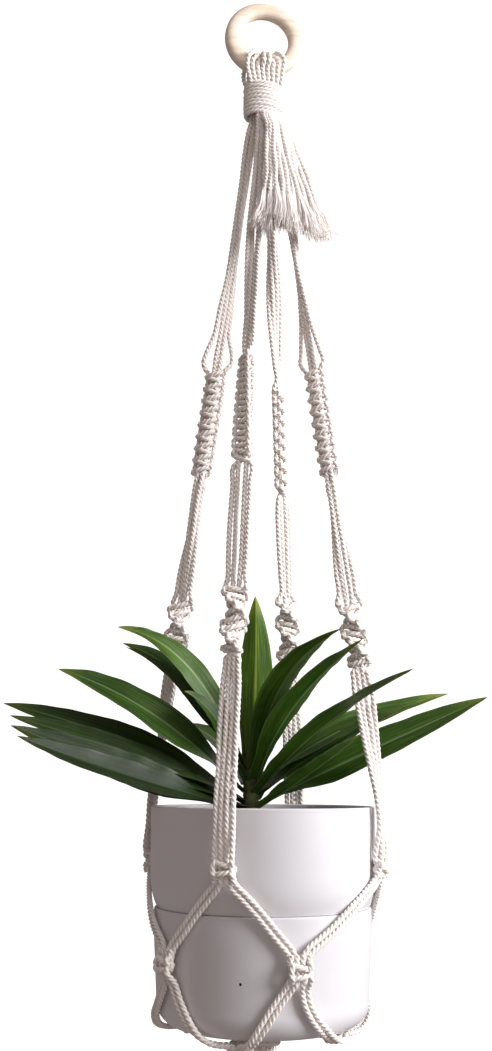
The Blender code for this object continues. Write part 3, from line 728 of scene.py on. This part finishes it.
def thread(route, thickness, offset):
    sides = 4
    _, normals, binormals = routeFrames(route)
    angles = np.arange(sides) * 2 * math.pi / sides
    taper = np.linspace(1.0, 0.35, len(route))[:, None]
    verts = (route[:, None, :] + (thickness * taper * np.cos(angles))[:, :, None] * normals[:, None, :]
             + (thickness * taper * np.sin(angles))[:, :, None] * binormals[:, None, :])
    faces = []
    for ring in range(len(route) - 1):
        for n in range(sides):
            after = (n + 1) % sides
            low = ring * sides
            faces.append([low + n, low + after, low + sides + after, low + sides + n])
    faces.append(list(range(sides))[::-1])
    faces.append([(len(route) - 1) * sides + n for n in range(sides)])
    lay = np.zeros((len(route), sides, 3))
    lay[:, :, 2] = np.linspace(0, 12, len(route))[:, None] + offset
    # a slight painted groove shade on each loose fibre
    grooveShade = np.full(len(route) * sides, 0.12)
    return verts.reshape(-1, 3), faces, lay.reshape(-1, 3), grooveShade


def neighboursOf(azimuth, others):
    return {name: other for name, other in others.items() if abs(shortTurn(azimuth, other)) < 60.0}


legAzimuths = {name: leg["azimuth"] for name, leg in legSet.items()}
for sideName, sideAzimuth in sideSet.items():
    near = neighboursOf(sideAzimuth, legAzimuths)
    knotPiece = ropePiece(f"{sideName}_net_knot", sideKnotRoutes(sideName, sideAzimuth, near))
    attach(knotPiece, "hanger")
    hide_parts(f"{sideName}_knot", *[f"{sideName}_to_{name}_base_cords" for name in near])
    for legName, legAzimuth in near.items():
        stations = diagonalStations(legAzimuth, sideAzimuth)
        diagonal = ropePiece(f"{legName}_to_{sideName}_diagonal", pairRoutes(stations))
        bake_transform(diagonal)
        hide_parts(f"{legName}_to_{sideName}_cords")
for legName, legAzimuth in legAzimuths.items():
    underPiece = ropePiece(f"{legName}_under_knot", strandsUnder(legAzimuth))
    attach(underPiece, "hanger")
    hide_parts(f"{legName}_under_cords")


gatherSet = {"radius": 12.4, "top": -894.0, "turns": 2.4, "pitch": 3.4, "diameter": 4.2}


def gatheringKnot():
    steps = int(gatherSet["turns"] * 16)
    points = []
    for step in range(steps + 1):
        angle = 2 * math.pi * step / 16
        height = gatherSet["top"] - gatherSet["pitch"] * step / 16
        radius = gatherSet["radius"] - (2.0 if step in (0, steps) else 0.0)
        points.append(np.array([radius * math.sin(angle), -radius * math.cos(angle), height]) * mm)
    wrap = ropePiece("gathering_knot", [points], gatherSet["diameter"])
    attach(wrap, "hanger")
    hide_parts("base_knot")
    ends = []
    for azimuth in legAzimuths.values():
        for number, lane in enumerate((-6.9, -2.3, 2.3, 6.9)):
            inner = 8.6 if number in (0, 3) else 4.4
            tail = place(azimuth + lane * 2.6, inner, -904.0 - (number % 3)) * mm
            ends.append((tail, np.array([0.0, 0.0, -1.0])))
    frayed = threads("gathering_knot_ends", ends, 14, 7.0, 1.2, 0.30, 5)
    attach(frayed, "hanger")


gatheringKnot()
print("the net is tied under the cup")


# ---- head: loops over the ring, binding, tassel ----

# tube and second are how far the loops' two layers sit from the middle of the ring's section;
# swingRoom stands the loops further off as they sit higher on the ring, so that they clear it in the swing
headSet = {"tube": 10.4, "second": 13.6, "swingRoom": 0.42, "ringRadius": 30.0, "ringZ": -23.0,
           "frontSpacing": 4.75, "slant": 1.6}


def headLoopRoute(number, count=8):
    middle = (count - 1) / 2
    place8 = number - middle
    upper = number in (3, 4)
    inner = {0: -32.0, 1: -19.2, 2: -7.2, 3: -6.4, 4: 6.4, 5: 7.2, 6: 19.2, 7: 32.0}[number]
    reach = headSet["second"] if upper else headSet["tube"]
    reach += headSet["swingRoom"] * headSet["ringRadius"] * (1.0 - math.cos(math.radians(inner)))
    frontX = place8 * headSet["frontSpacing"]
    footX = place8 * 3.9
    points = []
    for side in (-1, 1):
        half = [(footX, side * 6.6, -92.0), (footX + 0.3 * headSet["slant"], side * 8.4, -74.0),
                (mix(footX, frontX, 0.5), side * 9.8, -67.0),
                (frontX - 0.5 * headSet["slant"], side * 11.2, -58.0)]
        if side == -1:
            points += half
        else:
            halfBack = half[::-1]
        for step in range(7 if side == -1 else 0):
            angle = math.pi * step / 6
            lift = math.sin(angle)
            theta = math.radians(mix(inner if lift > 0.4 else frontX / 30.0 * 57.3, inner, lift))
            radial = headSet["ringRadius"] - reach * lift
            x = radial * math.sin(theta)
            if lift < 0.01:
                x = frontX
            z = headSet["ringZ"] - radial * math.cos(theta)
            points.append((x, -reach * math.cos(angle) * (1.06 if lift < 0.5 else 1.0), z))
    points += halfBack
    return [np.array(point) * mm for point in points]


loops = ropePiece("head_loop_cords", [headLoopRoute(number) for number in range(8)])
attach(loops, "hanger")
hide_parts("head_loops")

bindingSet = {"turns": 9.0, "diameter": 4.2, "halfWide": 16.9, "halfDeep": 13.4, "slant": 1.1}


def bindingRoute():
    steps = int(bindingSet["turns"] * 20)
    top = levels["wrapTop"] - 2.1
    foot = levels["wrapFoot"] + 2.1
    points = []
    loose = wobble("binding", 0.35, 5)
    for step in range(steps + 1):
        share = step / steps
        angle = 2 * math.pi * step / 20 + math.pi
        swell = 0.5 * math.sin(math.pi * share) + loose(share * 3)
        x = (bindingSet["halfWide"] + swell) * math.sin(angle)
        y = -(bindingSet["halfDeep"] + swell) * math.cos(angle)
        height = mix(top, foot, share) - bindingSet["slant"] * math.sin(angle)
        if step in (0, steps):
            x, y = x * 0.8, y * 0.8
        points.append(np.array([x, y, height]) * mm)
    return points


binding = ropePiece("binding_cord", [bindingRoute()], bindingSet["diameter"])
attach(binding, "hanger")
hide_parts("top_wrap")

# two layers of cut cords; each is unravelled for its last third into a straight-cut fringe
tasselSet = {"front": 9, "behind": 8, "azimuth": 21.0, "spreadTop": 40.0, "spreadFoot": 58.0, "foot": -196.0,
             "fringe": 40.0, "fibres": 90, "fibreSpread": 6.4}


def tasselRoute(number, count, behind):
    side = -1.0 + (number + 0.5) * 2.0 / count
    drift = wobble(f"tassel{number}{behind}", 1.3)
    points = [place(tasselSet["azimuth"] + side * 30.0, 11.5, -103.0),
              place(tasselSet["azimuth"] + side * 36.0, 15.8, -109.5)]
    foot = tasselSet["foot"] - 4.0 * math.cos(1.4 * side) + 4.0 * math.sin(4.1 * number)
    foot += 5.0 if behind else 0.0
    for step in range(1, 8):
        share = step / 7
        height = mix(-109.5, foot, share)
        spread = mix(tasselSet["spreadTop"], tasselSet["spreadFoot"], share)
        radius = 18.6 + mix(20.0, 31.0, (side + 1) / 2) * share ** 0.9 - (5.5 * share if behind else 0.0)
        azimuth = tasselSet["azimuth"] + side * spread * (0.6 if side < 0 else 0.84)
        points.append(place(azimuth, radius + drift(share), height, drift(share + 0.4)))
    return [point * mm for point in points]


tasselCords = [(number, tasselSet["front"], 0) for number in range(tasselSet["front"])]
tasselCords += [(number, tasselSet["behind"], 1) for number in range(tasselSet["behind"])]
for order, (number, count, behind) in enumerate(tasselCords):
    route = tasselRoute(number, count, behind)
    cord = ropePiece(f"tassel_cord_{order + 1}", [route])
    line, cordLength = smoothRoute(route, 2.0 * mm)
    frayed = threads(f"tassel_threads_{order + 1}", [(line[-1], line[-1] - line[-3])], tasselSet["fibres"],
                     tasselSet["fringe"], tasselSet["fibreSpread"], 0.45, order)
    for piece in (cord, frayed):
        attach(piece, "tassel")
        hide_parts("tassel")
print("head loops, binding and tassel are made")


# ---- the wooden ring ----

ringLook = {"pale": (0.86, 0.735, 0.60), "palest": (0.90, 0.79, 0.665), "grain": (0.74, 0.575, 0.43),
            "fleck": (0.60, 0.44, 0.31), "roughness": 0.46, "grainScale": (14.0, 120.0, 260.0),
            "grainTurn": 9.0, "fleckScale": (160.0, 900.0, 900.0)}


def woodMaterial():
    material, nodes, link, shader = newMaterial("paleBeech")
    spots = nodes.new("ShaderNodeTexCoord")
    grain = stretchedNoise(nodes, link, spots.outputs["Object"], ringLook["grainScale"],
                           noiseNode(nodes, 1.0, 5.0, 0.6), math.radians(ringLook["grainTurn"]))
    flecks = stretchedNoise(nodes, link, spots.outputs["Object"], ringLook["fleckScale"],
                            noiseNode(nodes, 1.0, 2.0, 0.5))
    tone = colourRamp(nodes, [(0.32, ringLook["grain"]), (0.50, ringLook["pale"]),
                              (0.70, ringLook["palest"])])
    link(grain.outputs["Fac"], tone.inputs["Fac"])
    dash = colourRamp(nodes, [(0.64, (1.0, 1.0, 1.0)), (0.72, ringLook["fleck"])])
    link(flecks.outputs["Fac"], dash.inputs["Fac"])
    _, lower, upper, shaded = mixColour(nodes, "MULTIPLY", 0.45)
    link(tone.outputs["Color"], lower)
    link(dash.outputs["Color"], upper)
    link(shaded, shader.inputs["Base Color"])
    addBump(nodes, link, shader, grain, 0.25, 0.0002)
    shader.inputs["Roughness"].default_value = ringLook["roughness"]
    return material


def roundedSection(halfWide, halfDeep, count, power):
    # an ellipse squared off at its corners by a power above 2
    points = []
    for step in range(count):
        angle = 2 * math.pi * step / count
        wide, deep = (math.copysign(abs(way) ** (2 / power), way)
                      for way in (math.cos(angle), math.sin(angle)))
        points.append((wide * halfWide, deep * halfDeep))
    return points


def plainPiece(name, verts, faces, material, sharp=40.0):
    mesh = bpy.data.meshes.new(name)
    mesh.from_pydata([tuple(v) for v in verts], [], faces)
    mesh.validate()
    mesh.shade_smooth()
    mesh.set_sharp_from_angle(angle=math.radians(sharp))
    mesh.materials.append(material)
    piece = bpy.data.objects.new(name, mesh)
    scene.collection.objects.link(piece)
    return piece


def woodenRing():
    steps = 144
    section = roundedSection(7.0, 6.5, 28, 2.5)
    verts = []
    faces = []
    for step in range(steps):
        angle = 2 * math.pi * step / steps
        for wide, deep in section:
            radius = 30.0 + wide
            verts.append(np.array([radius * math.sin(angle), deep, -23.0 + radius * math.cos(angle)]) * mm)
        for n in range(len(section)):
            here = step * len(section)
            there = ((step + 1) % steps) * len(section)
            after = (n + 1) % len(section)
            faces.append([here + n, there + n, there + after, here + after])
    return plainPiece("turned_ring", verts, faces, woodMaterial())


ring = woodenRing()
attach(ring, "ring")
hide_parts("wooden_ring")
print("the ring is turned")


# ---- pot and water cup ----

plasticLook = {"colour": (0.80, 0.79, 0.81), "roughness": 0.36, "ripple": 0.05}


def plasticMaterial():
    material, nodes, link, shader = newMaterial("satinPlastic")
    spots = nodes.new("ShaderNodeTexCoord")
    cloud = noiseNode(nodes, 18.0, 3.0)
    link(spots.outputs["Object"], cloud.inputs["Vector"])
    shade = tuple(c * 0.965 for c in plasticLook["colour"])
    tone = colourRamp(nodes, [(0.3, shade), (0.7, plasticLook["colour"])])
    link(cloud.outputs["Fac"], tone.inputs["Fac"])
    link(tone.outputs["Color"], shader.inputs["Base Color"])
    skin = noiseNode(nodes, 1400.0, 2.0)
    link(spots.outputs["Object"], skin.inputs["Vector"])
    addBump(nodes, link, shader, skin, plasticLook["ripple"], 0.00012)
    gloss = nodes.new("ShaderNodeMapRange")
    gloss.inputs["To Min"].default_value = plasticLook["roughness"] - 0.04
    gloss.inputs["To Max"].default_value = plasticLook["roughness"] + 0.07
    link(cloud.outputs["Fac"], gloss.inputs["Value"])
    link(gloss.outputs["Result"], shader.inputs["Roughness"])
    return material


plastic = plasticMaterial()


def arc(centreRadius, centreHeight, radius, start, end, count):
    angles = [math.radians(mix(start, end, n / count)) for n in range(count + 1)]
    return [(centreRadius + radius * math.cos(angle), centreHeight + radius * math.sin(angle))
            for angle in angles]


def throughPoints(points, count):
    # a smooth outline through (radius, height) points
    line, _ = smoothRoute([(r, 0.0, z) for r, z in points], 1.0)
    marks = np.linspace(0, len(line) - 1, count)
    return [tuple(float(np.interp(mark, range(len(line)), line[:, axis])) for axis in (0, 2))
            for mark in marks]


def turnedPiece(name, profile, material, steps=160, sharp=38.0):
    verts = []
    faces = []
    rows = []
    for radius, height in profile:
        if radius < 1e-6:
            rows.append([len(verts)])
            verts.append(np.array([0.0, 0.0, height]) * mm)
            continue
        rows.append(list(range(len(verts), len(verts) + steps)))
        for step in range(steps):
            angle = 2 * math.pi * step / steps
            verts.append(np.array([radius * math.cos(angle), radius * math.sin(angle), height]) * mm)
    for upper, lower in zip(rows, rows[1:]):
        for step in range(steps):
            after = (step + 1) % steps
            if len(upper) == 1:
                faces.append([upper[0], lower[step], lower[after]])
            elif len(lower) == 1:
                faces.append([upper[step], lower[0], upper[after]])
            else:
                faces.append([upper[step], lower[step], lower[after], upper[after]])
    return plainPiece(name, verts, faces, material, sharp)


def potProfile():
    outer = throughPoints([(91.1, -722.6), (91.1, -732.0), (90.9, -750.0), (90.7, -764.0), (90.5, -774.0),
                           (90.2, -780.0), (89.6, -785.0), (88.4, -790.0), (86.9, -794.2),
                           (85.8, -796.8)], 44)
    ledge = [(85.2, -798.2), (84.7, -798.7), (76.6, -798.7)]
    foot = [(74.8, -820.0), (72.0, -850.0)] + arc(62.0, -861.0, 9.0, 0, -90, 8)
    inner = [(0.0, -867.4), (62.0, -867.4), (69.2, -850.0), (72.0, -820.0), (73.7, -802.0), (74.5, -796.8),
             (80.0, -796.0)]
    inner += throughPoints([(82.6, -794.0), (85.0, -789.0), (86.8, -783.5), (87.8, -776.0), (88.1, -764.0),
                            (88.3, -740.0), (88.3, -722.4)], 24)
    rim = arc(89.75, -722.1, 1.45, 178, 2, 10)
    return inner + rim + outer + ledge + foot + [(0.0, -870.0)]


def cupProfile():
    lip = [(77.5, -800.2), (77.6, -799.5), (78.1, -799.0), (85.7, -799.0)]
    shoulder = arc(85.7, -800.4, 1.4, 80, 0, 6)
    wall = throughPoints([(87.1, -803.0), (87.05, -816.0), (85.7, -840.0), (84.4, -864.0)], 16)
    corner = arc(65.3, -869.0, 19.0, 2, -90, 18)
    inner = [(0.0, -885.5), (64.0, -885.5)] + arc(65.3, -869.0, 16.5, -84, 0, 10)
    inner += [(83.2, -840.0), (84.4, -816.0), (84.5, -804.0), (83.0, -801.8), (77.6, -801.6)]
    return inner + lip + shoulder + wall + corner + [(0.0, -888.0)]


pot = turnedPiece("pot_shell", potProfile(), plastic)
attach(pot, "pot")
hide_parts("pot")
cup = turnedPiece("water_cup_shell", cupProfile(), plastic)

overflowSet = {"azimuth": -21.0, "height": -846.0, "radius": 1.1}


def cutOverflow(target):
    # the overflow hole through the cup's wall
    azimuth = overflowSet["azimuth"]
    bpy.ops.mesh.primitive_cylinder_add(vertices=24, radius=overflowSet["radius"] * mm, depth=14 * mm)
    cutter = bpy.context.object
    cutter.location = place(azimuth, 85.0, overflowSet["height"]) * mm
    cutter.rotation_euler = (math.radians(90), 0.0, math.radians(azimuth))
    cut = target.modifiers.new("overflow", "BOOLEAN")
    cut.operation = "DIFFERENCE"
    cut.solver = "EXACT"
    cut.object = cutter
    graph = bpy.context.evaluated_depsgraph_get()
    mesh = bpy.data.meshes.new_from_object(target.evaluated_get(graph))
    target.modifiers.clear()
    target.data = mesh
    bpy.data.objects.remove(cutter)
    mesh.set_sharp_from_angle(angle=math.radians(38.0))


cutOverflow(cup)
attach(cup, "cup")
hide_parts("water_cup")
print("pot and cup are moulded")


# ---- potting mix ----

soilLook = {"dark": (0.012, 0.008, 0.006), "peat": (0.055, 0.034, 0.020), "pale": (0.13, 0.085, 0.05)}


def soilMaterial():
    material, nodes, link, shader = newMaterial("pottingMix")
    spots = nodes.new("ShaderNodeTexCoord")
    lumps = noiseNode(nodes, 160.0, 5.0, 0.7)
    link(spots.outputs["Object"], lumps.inputs["Vector"])
    tone = colourRamp(nodes, [(0.30, soilLook["dark"]), (0.55, soilLook["peat"]), (0.75, soilLook["pale"])])
    link(lumps.outputs["Fac"], tone.inputs["Fac"])
    link(tone.outputs["Color"], shader.inputs["Base Color"])
    addBump(nodes, link, shader, lumps, 0.9, 0.0012)
    shader.inputs["Roughness"].default_value = 1.0
    return material


soilSet = {"radius": 86.9, "top": -737.0, "crumbs": 620}


def pottingMix():
    pick = random.Random(11)
    rings = 44
    steps = 120
    verts = [np.array([0.0, 0.0, soilSet["top"] + 2.0])]
    faces = []
    for ring in range(1, rings + 1):
        radius = soilSet["radius"] * ring / rings
        for step in range(steps):
            angle = 2 * math.pi * step / steps
            rough = pick.uniform(-0.5, 0.6) if ring < rings else 0.0
            slow = 1.1 * math.sin(3 * angle + radius / 14) * math.cos(radius / 17)
            height = soilSet["top"] + 1.6 * (1 - ring / rings) + rough + slow * (1 - (ring / rings) ** 4)
            verts.append(np.array([radius * math.cos(angle), radius * math.sin(angle), height]))
    for step in range(steps):
        after = (step + 1) % steps
        faces.append([0, 1 + step, 1 + after])
        for ring in range(rings - 1):
            low = 1 + ring * steps
            faces.append([low + step, low + steps + step, low + steps + after, low + after])
    foot = len(verts)
    for step in range(steps):
        angle = 2 * math.pi * step / steps
        verts.append(np.array([86.0 * math.cos(angle), 86.0 * math.sin(angle), soilSet["top"] - 14.0]))
    edge = 1 + (rings - 1) * steps
    for step in range(steps):
        after = (step + 1) % steps
        faces.append([edge + step, foot + step, foot + after, edge + after])
    faces.append([foot + step for step in range(steps)][::-1])
    for _ in range(soilSet["crumbs"]):
        # small crumbs: octahedra squashed and turned at random
        radius = 84.0 * math.sqrt(pick.random())
        angle = pick.uniform(0, 6.28)
        size = pick.uniform(0.7, 2.3)
        centre = np.array([radius * math.cos(angle), radius * math.sin(angle),
                           soilSet["top"] + size * 0.5 + 0.8])
        turn = pick.uniform(0, 3.1)
        start = len(verts)
        for dx, dy, dz in ((1, 0, 0), (0, 1, 0), (-1, 0, 0), (0, -1, 0), (0, 0, 0.7), (0, 0, -0.8)):
            x = dx * math.cos(turn) - dy * math.sin(turn)
            y = dx * math.sin(turn) + dy * math.cos(turn)
            verts.append(centre + np.array([x, y, dz]) * size * pick.uniform(0.7, 1.2))
        for a, b in ((0, 1), (1, 2), (2, 3), (3, 0)):
            faces.append([start + a, start + b, start + 4])
            faces.append([start + b, start + a, start + 5])
    return plainPiece("potting_mix", [v * mm for v in verts], faces, soilMaterial(), 70.0)


soil = pottingMix()
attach(soil, "pot")
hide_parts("soil")


# ---- plant ----

leafLook = {"dark": (0.012, 0.030, 0.005), "mid": (0.034, 0.088, 0.007), "light": (0.085, 0.185, 0.015),
            "tip": (0.15, 0.21, 0.018), "margin": (0.07, 0.13, 0.03), "rib": (0.20, 0.29, 0.13),
            "roughness": 0.40, "wide": 1.24, "streakScale": (9.0, 1.6, 7.0), "veinScale": (34.0, 1.2, 1.0)}


def leafMaterial():
    # leafPlace holds (across -1..1, along 0..1, a tone for each leaf)
    material, nodes, link, shader = newMaterial("strapLeaf")
    spot = attributeNode(nodes, "leafPlace")
    parts = nodes.new("ShaderNodeSeparateXYZ")
    link(spot.outputs["Vector"], parts.inputs["Vector"])
    streaks = stretchedNoise(nodes, link, spot.outputs["Vector"], leafLook["streakScale"],
                             noiseNode(nodes, 2.2, 4.0, 0.6))
    body = colourRamp(nodes, [(0.30, leafLook["dark"]), (0.50, leafLook["mid"]), (0.72, leafLook["light"])])
    link(streaks.outputs["Fac"], body.inputs["Fac"])
    away = nodes.new("ShaderNodeMath")
    away.operation = "ABSOLUTE"
    link(parts.outputs["X"], away.inputs[0])
    edge = bandFactor(nodes, link, away.outputs[0], 0.86, 0.99)
    edged = tintedWhere(nodes, link, edge, body.outputs["Color"], leafLook["margin"])
    rib = bandFactor(nodes, link, away.outputs[0], 0.10, 0.02, 0.75)
    ribbed = tintedWhere(nodes, link, rib, edged, leafLook["rib"])
    tip = bandFactor(nodes, link, parts.outputs["Y"], 0.86, 1.0, 0.8)
    tipped = tintedWhere(nodes, link, tip, ribbed, leafLook["tip"])
    # each leaf's colour is multiplied by its own factor from the leaf table; the factors below one are
    # painted shade
    glow = attributeNode(nodes, "leafTone")
    _, toneA, toneB, toned = mixColour(nodes, "MULTIPLY")
    link(tipped, toneA)
    link(glow.outputs["Color"], toneB)
    link(toned, shader.inputs["Base Color"])

    veins = stretchedNoise(nodes, link, spot.outputs["Vector"], leafLook["veinScale"],
                           noiseNode(nodes, 1.0, 2.0))
    addBump(nodes, link, shader, veins, 0.35, 0.0006)
    shader.inputs["Roughness"].default_value = leafLook["roughness"]
    shader.inputs["Specular IOR Level"].default_value = 0.4
    return material


strapLeaf = leafMaterial()
crown = np.array([-10.0, 0.0, 0.0])
stemRadius = 6.5
front = -10.0
# azimuth, height at the stem, bend and tip as (reach, height), width, lean of the face to the front
leafSet = {
    "leaf_left_top": (-84, -690, (47, -585), (113, -578), 20, 50),
    "leaf_left_upper": (-95, -699, (45, -606), (107, -589), 19, 50),
    "leaf_left_middle": (-91, -709, (84, -632), (159, -612), 27, 50),
    "leaf_left_lower": (-97, -718, (97, -662), (204, -639), 27, 50),
    "leaf_left_low": (-83, -727, (108, -691), (196, -659), 27, 55),
    "leaf_right_top": (28, -690, (23, -608), (112, -586), 27, 0),
    "leaf_right_upper": (41, -699, (30, -636), (112, -592), 29, 0),
    "leaf_right_middle": (46, -710, (60, -652), (150, -616), 28, 0),
    "leaf_back_right": (99, -702, (71, -650), (182, -625), 23, 45),
    "leaf_right_lower": (83, -720, (86, -680), (198, -631), 29, 50),
}


# how much lighter or darker than the rest a leaf is: the factors below one are painted shade on the left
# leaves under the top one, the factors above one give the upright, top and back leaves a lighter green
leafShadeAndTones = {
    "leaf_left_low": (0.45, 0.42, 0.5), "leaf_left_lower": (0.6, 0.6, 0.6),
    "leaf_left_second": (0.5, 0.5, 0.5),
    "leaf_left_lowest": (0.3, 0.3, 0.4), "leaf_left_top": (1.5, 1.4, 0.9), "leaf_left_upper": (0.8, 0.8, 0.8),
    "leaf_upright": (2.1, 1.9, 0.6), "leaf_right_top": (1.25, 1.25, 1.0), "leaf_back_right": (1.5, 1.4, 1.3),
}


def leafWidth(width, share):
    foot = 0.46 + 0.54 * smoothStep(share / 0.5)
    return max(0.5, width * leafLook["wide"] * foot * max(0.0, 1.0 - share ** 3.0) ** 0.85)


def leafPiece(name, centres, sides, width, seed, fold=0.24, wave=0.7):
    # a channelled strap with a keel under its midrib, wavy margins and a closed, thin body
    across = 12
    tone = random.Random(seed).uniform(0.0, 10.0)
    leftWave = wobble(seed + "l", wave * 1.6, 4)
    rightWave = wobble(seed + "r", wave * 1.6, 4)
    along = np.gradient(centres, axis=0)
    verts = []
    places = []
    rows = []
    last = len(centres) - 1
    for index, centre in enumerate(centres):
        share = index / last
        run = unit(along[index])
        side = unit(sides[index] - run * np.dot(sides[index], run))
        normal = np.cross(run, side)
        half = leafWidth(width, share) / 2
        top = []
        under = []
        for step in range(across + 1):
            v = -1.0 + 2.0 * step / across
            ripple = (leftWave(share * 2.2) if v < 0 else rightWave(share * 2.2)) * v * v * min(1.0, half / 6)
            rise = half * fold * abs(v) ** 1.25 + ripple
            thick = mix(0.95, 0.35, abs(v)) + (0.8 * math.exp(-(v / 0.09) ** 2) * (1 - share) ** 0.6)
            dip = 0.25 * math.exp(-(v / 0.07) ** 2)
            point = centre + side * v * half + normal * rise
            top.append((point - normal * dip, v))
            under.append((point - normal * min(thick, half * 0.5 + 0.15), v))
        row = top + under[::-1]
        rows.append(list(range(len(verts), len(verts) + len(row))))
        verts += [point for point, _ in row]
        places += [(v, share, tone) for _, v in row]
    size = len(rows[0])
    faces = []
    for first, second in zip(rows, rows[1:]):
        faces += [[first[n], second[n], second[(n + 1) % size], first[(n + 1) % size]] for n in range(size)]
    half = across + 1
    for row, flip in ((rows[0], False), (rows[-1], True)):
        for n in range(across):
            face = [row[n], row[n + 1], row[size - 2 - n], row[size - 1 - n]]
            faces.append(face[::-1] if flip else face)
    piece = plainPiece(name, [v * mm for v in verts], faces, strapLeaf, 60.0)
    spot = piece.data.attributes.new("leafPlace", "FLOAT_VECTOR", "POINT")
    spot.data.foreach_set("vector", np.array(places, dtype=np.float32).ravel())
    # the leaf's factor, painted shade where it is below one
    glow = piece.data.attributes.new("leafTone", "FLOAT_VECTOR", "POINT")
    leafTone = leafShadeAndTones.get(name.replace("_blade", ""), (1.0, 1.0, 1.0))
    glow.data.foreach_set("vector", np.array([leafTone] * len(verts), dtype=np.float32).ravel())
    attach(piece, "pot")
    return piece


def archedLeaf(name, azimuth, stemHeight, bend, tip, width, lean):
    # a strap that leaves the stem, bends over and hangs out to its tip along one quadratic curve
    steps = 46
    out = outward(azimuth)
    begin = (stemRadius - 0.8, stemHeight)
    angle = math.radians(lean)
    face = outward(front) * math.sin(angle) + np.array([0.0, 0.0, math.cos(angle)])
    centres = []
    sides = []
    for step in range(steps + 1):
        share = step / steps
        back = 1.0 - share
        reach, height = (back * back * begin[n] + 2 * back * share * bend[n] + share * share * tip[n]
                         for n in (0, 1))
        run = out * (back * (bend[0] - begin[0]) + share * (tip[0] - bend[0]))
        run[2] = back * (bend[1] - begin[1]) + share * (tip[1] - bend[1])
        wide = unit(np.cross(face, run)) if lean else sideways(azimuth)
        sides.append(unit(mix(sideways(azimuth), wide, min(1.0, 3.0 * share))))
        centres.append(crown + out * reach + np.array([0.0, 0.0, height]))
    return leafPiece(name, np.array(centres), sides, width, name)


for leafName, (azimuth, stemHeight, bend, tip, width, lean) in leafSet.items():
    leaf = archedLeaf(leafName + "_blade", azimuth, stemHeight, bend, tip, width, lean)
    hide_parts(leafName)


uprightWidth = 27.0


def uprightLeaf():
    steps = 40
    centres = []
    for step in range(steps + 1):
        share = step / steps
        bow = outward(front) * 6.0 * share ** 2
        sway = sideways(front) * 4.0 * math.sin(2.2 * share)
        centres.append(crown + bow + sway + np.array([0.0, 0.0, mix(-690.0, -549.0, share)]))
    sides = [sideways(front)] * (steps + 1)
    leaf = leafPiece("leaf_upright_blade", np.array(centres), sides, uprightWidth, "upright")
    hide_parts("leaf_upright")


uprightLeaf()

# blades with no solid of their own, in the same terms
smallLeafSet = {
    "leaf_left_second": (-90, -722, (100, -676), (196, -650), 25, 50),
    "leaf_left_lowest": (-74, -722, (112, -698), (196, -668), 23, 50),
    "leaf_left_thin": (-92, -700, (48, -612), (104, -593), 9, 50),
    "leaf_left_short": (-70, -700, (30, -640), (62, -630), 18, 40),
    "leaf_front_low": (54, -722, (58, -692), (96, -664), 28, 0),
    "leaf_right_behind": (84, -712, (62, -668), (126, -640), 22, 30),
    "leaf_right_small": (88, -706, (60, -655), (148, -634), 16, 40),
    "leaf_back_tall": (170, -688, (18, -620), (46, -578), 22, 0),
    "leaf_back_left": (-150, -704, (50, -650), (110, -650), 22, 0),
    "leaf_back_lower": (126, -716, (52, -668), (98, -656), 20, 0),
}
for leafName, (azimuth, stemHeight, bend, tip, width, lean) in smallLeafSet.items():
    archedLeaf(leafName, azimuth, stemHeight, bend, tip, width, lean)


def stemMaterial():
    material, nodes, link, shader = newMaterial("greenCane")
    spots = nodes.new("ShaderNodeTexCoord")
    bark = noiseNode(nodes, 220.0, 4.0)
    link(spots.outputs["Object"], bark.inputs["Vector"])
    tone = colourRamp(nodes, [(0.35, (0.05, 0.07, 0.02)), (0.65, (0.16, 0.17, 0.06))])
    link(bark.outputs["Fac"], tone.inputs["Fac"])
    link(tone.outputs["Color"], shader.inputs["Base Color"])
    addBump(nodes, link, shader, bark, 0.5, 0.0005)
    shader.inputs["Roughness"].default_value = 0.65
    return material


def stemPiece():
    profile = [(0.0, -674.0), (3.4, -674.6), (5.0, -676.6)]
    for ring in range(11):
        # old leaf scars ring the stem
        height = -680.0 - ring * 5.0
        swell = 0.06 * ring
        profile += [(5.9 + swell, height), (6.3 + swell, height - 2.2), (5.8 + swell, height - 4.0)]
    profile += [(7.4, -736.5), (0.0, -737.5)]
    stem = turnedPiece("leafy_stem", profile, stemMaterial(), 28, 60.0)
    stem.data.transform(Matrix.Translation(tuple(crown * mm)))
    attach(stem, "pot")
    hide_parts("stem")


stemPiece()
print("the plant is grown")

# a soft front light that only the cotton and the ring receive
cordFill = addAreaLight("cordFill", lightSet["cordFrom"], lightSet["cordAim"], lightSet["cordPower"],
                        lightSet["cordSize"])
lit = bpy.data.collections.new("cottonAndRing")
litFinishes = (cotton, ring.data.materials[0])
for piece in scene.objects:
    if piece.type == "MESH" and any(slot.material in litFinishes for slot in piece.material_slots):
        lit.objects.link(piece)
cordFill.light_linking.receiver_collection = lit
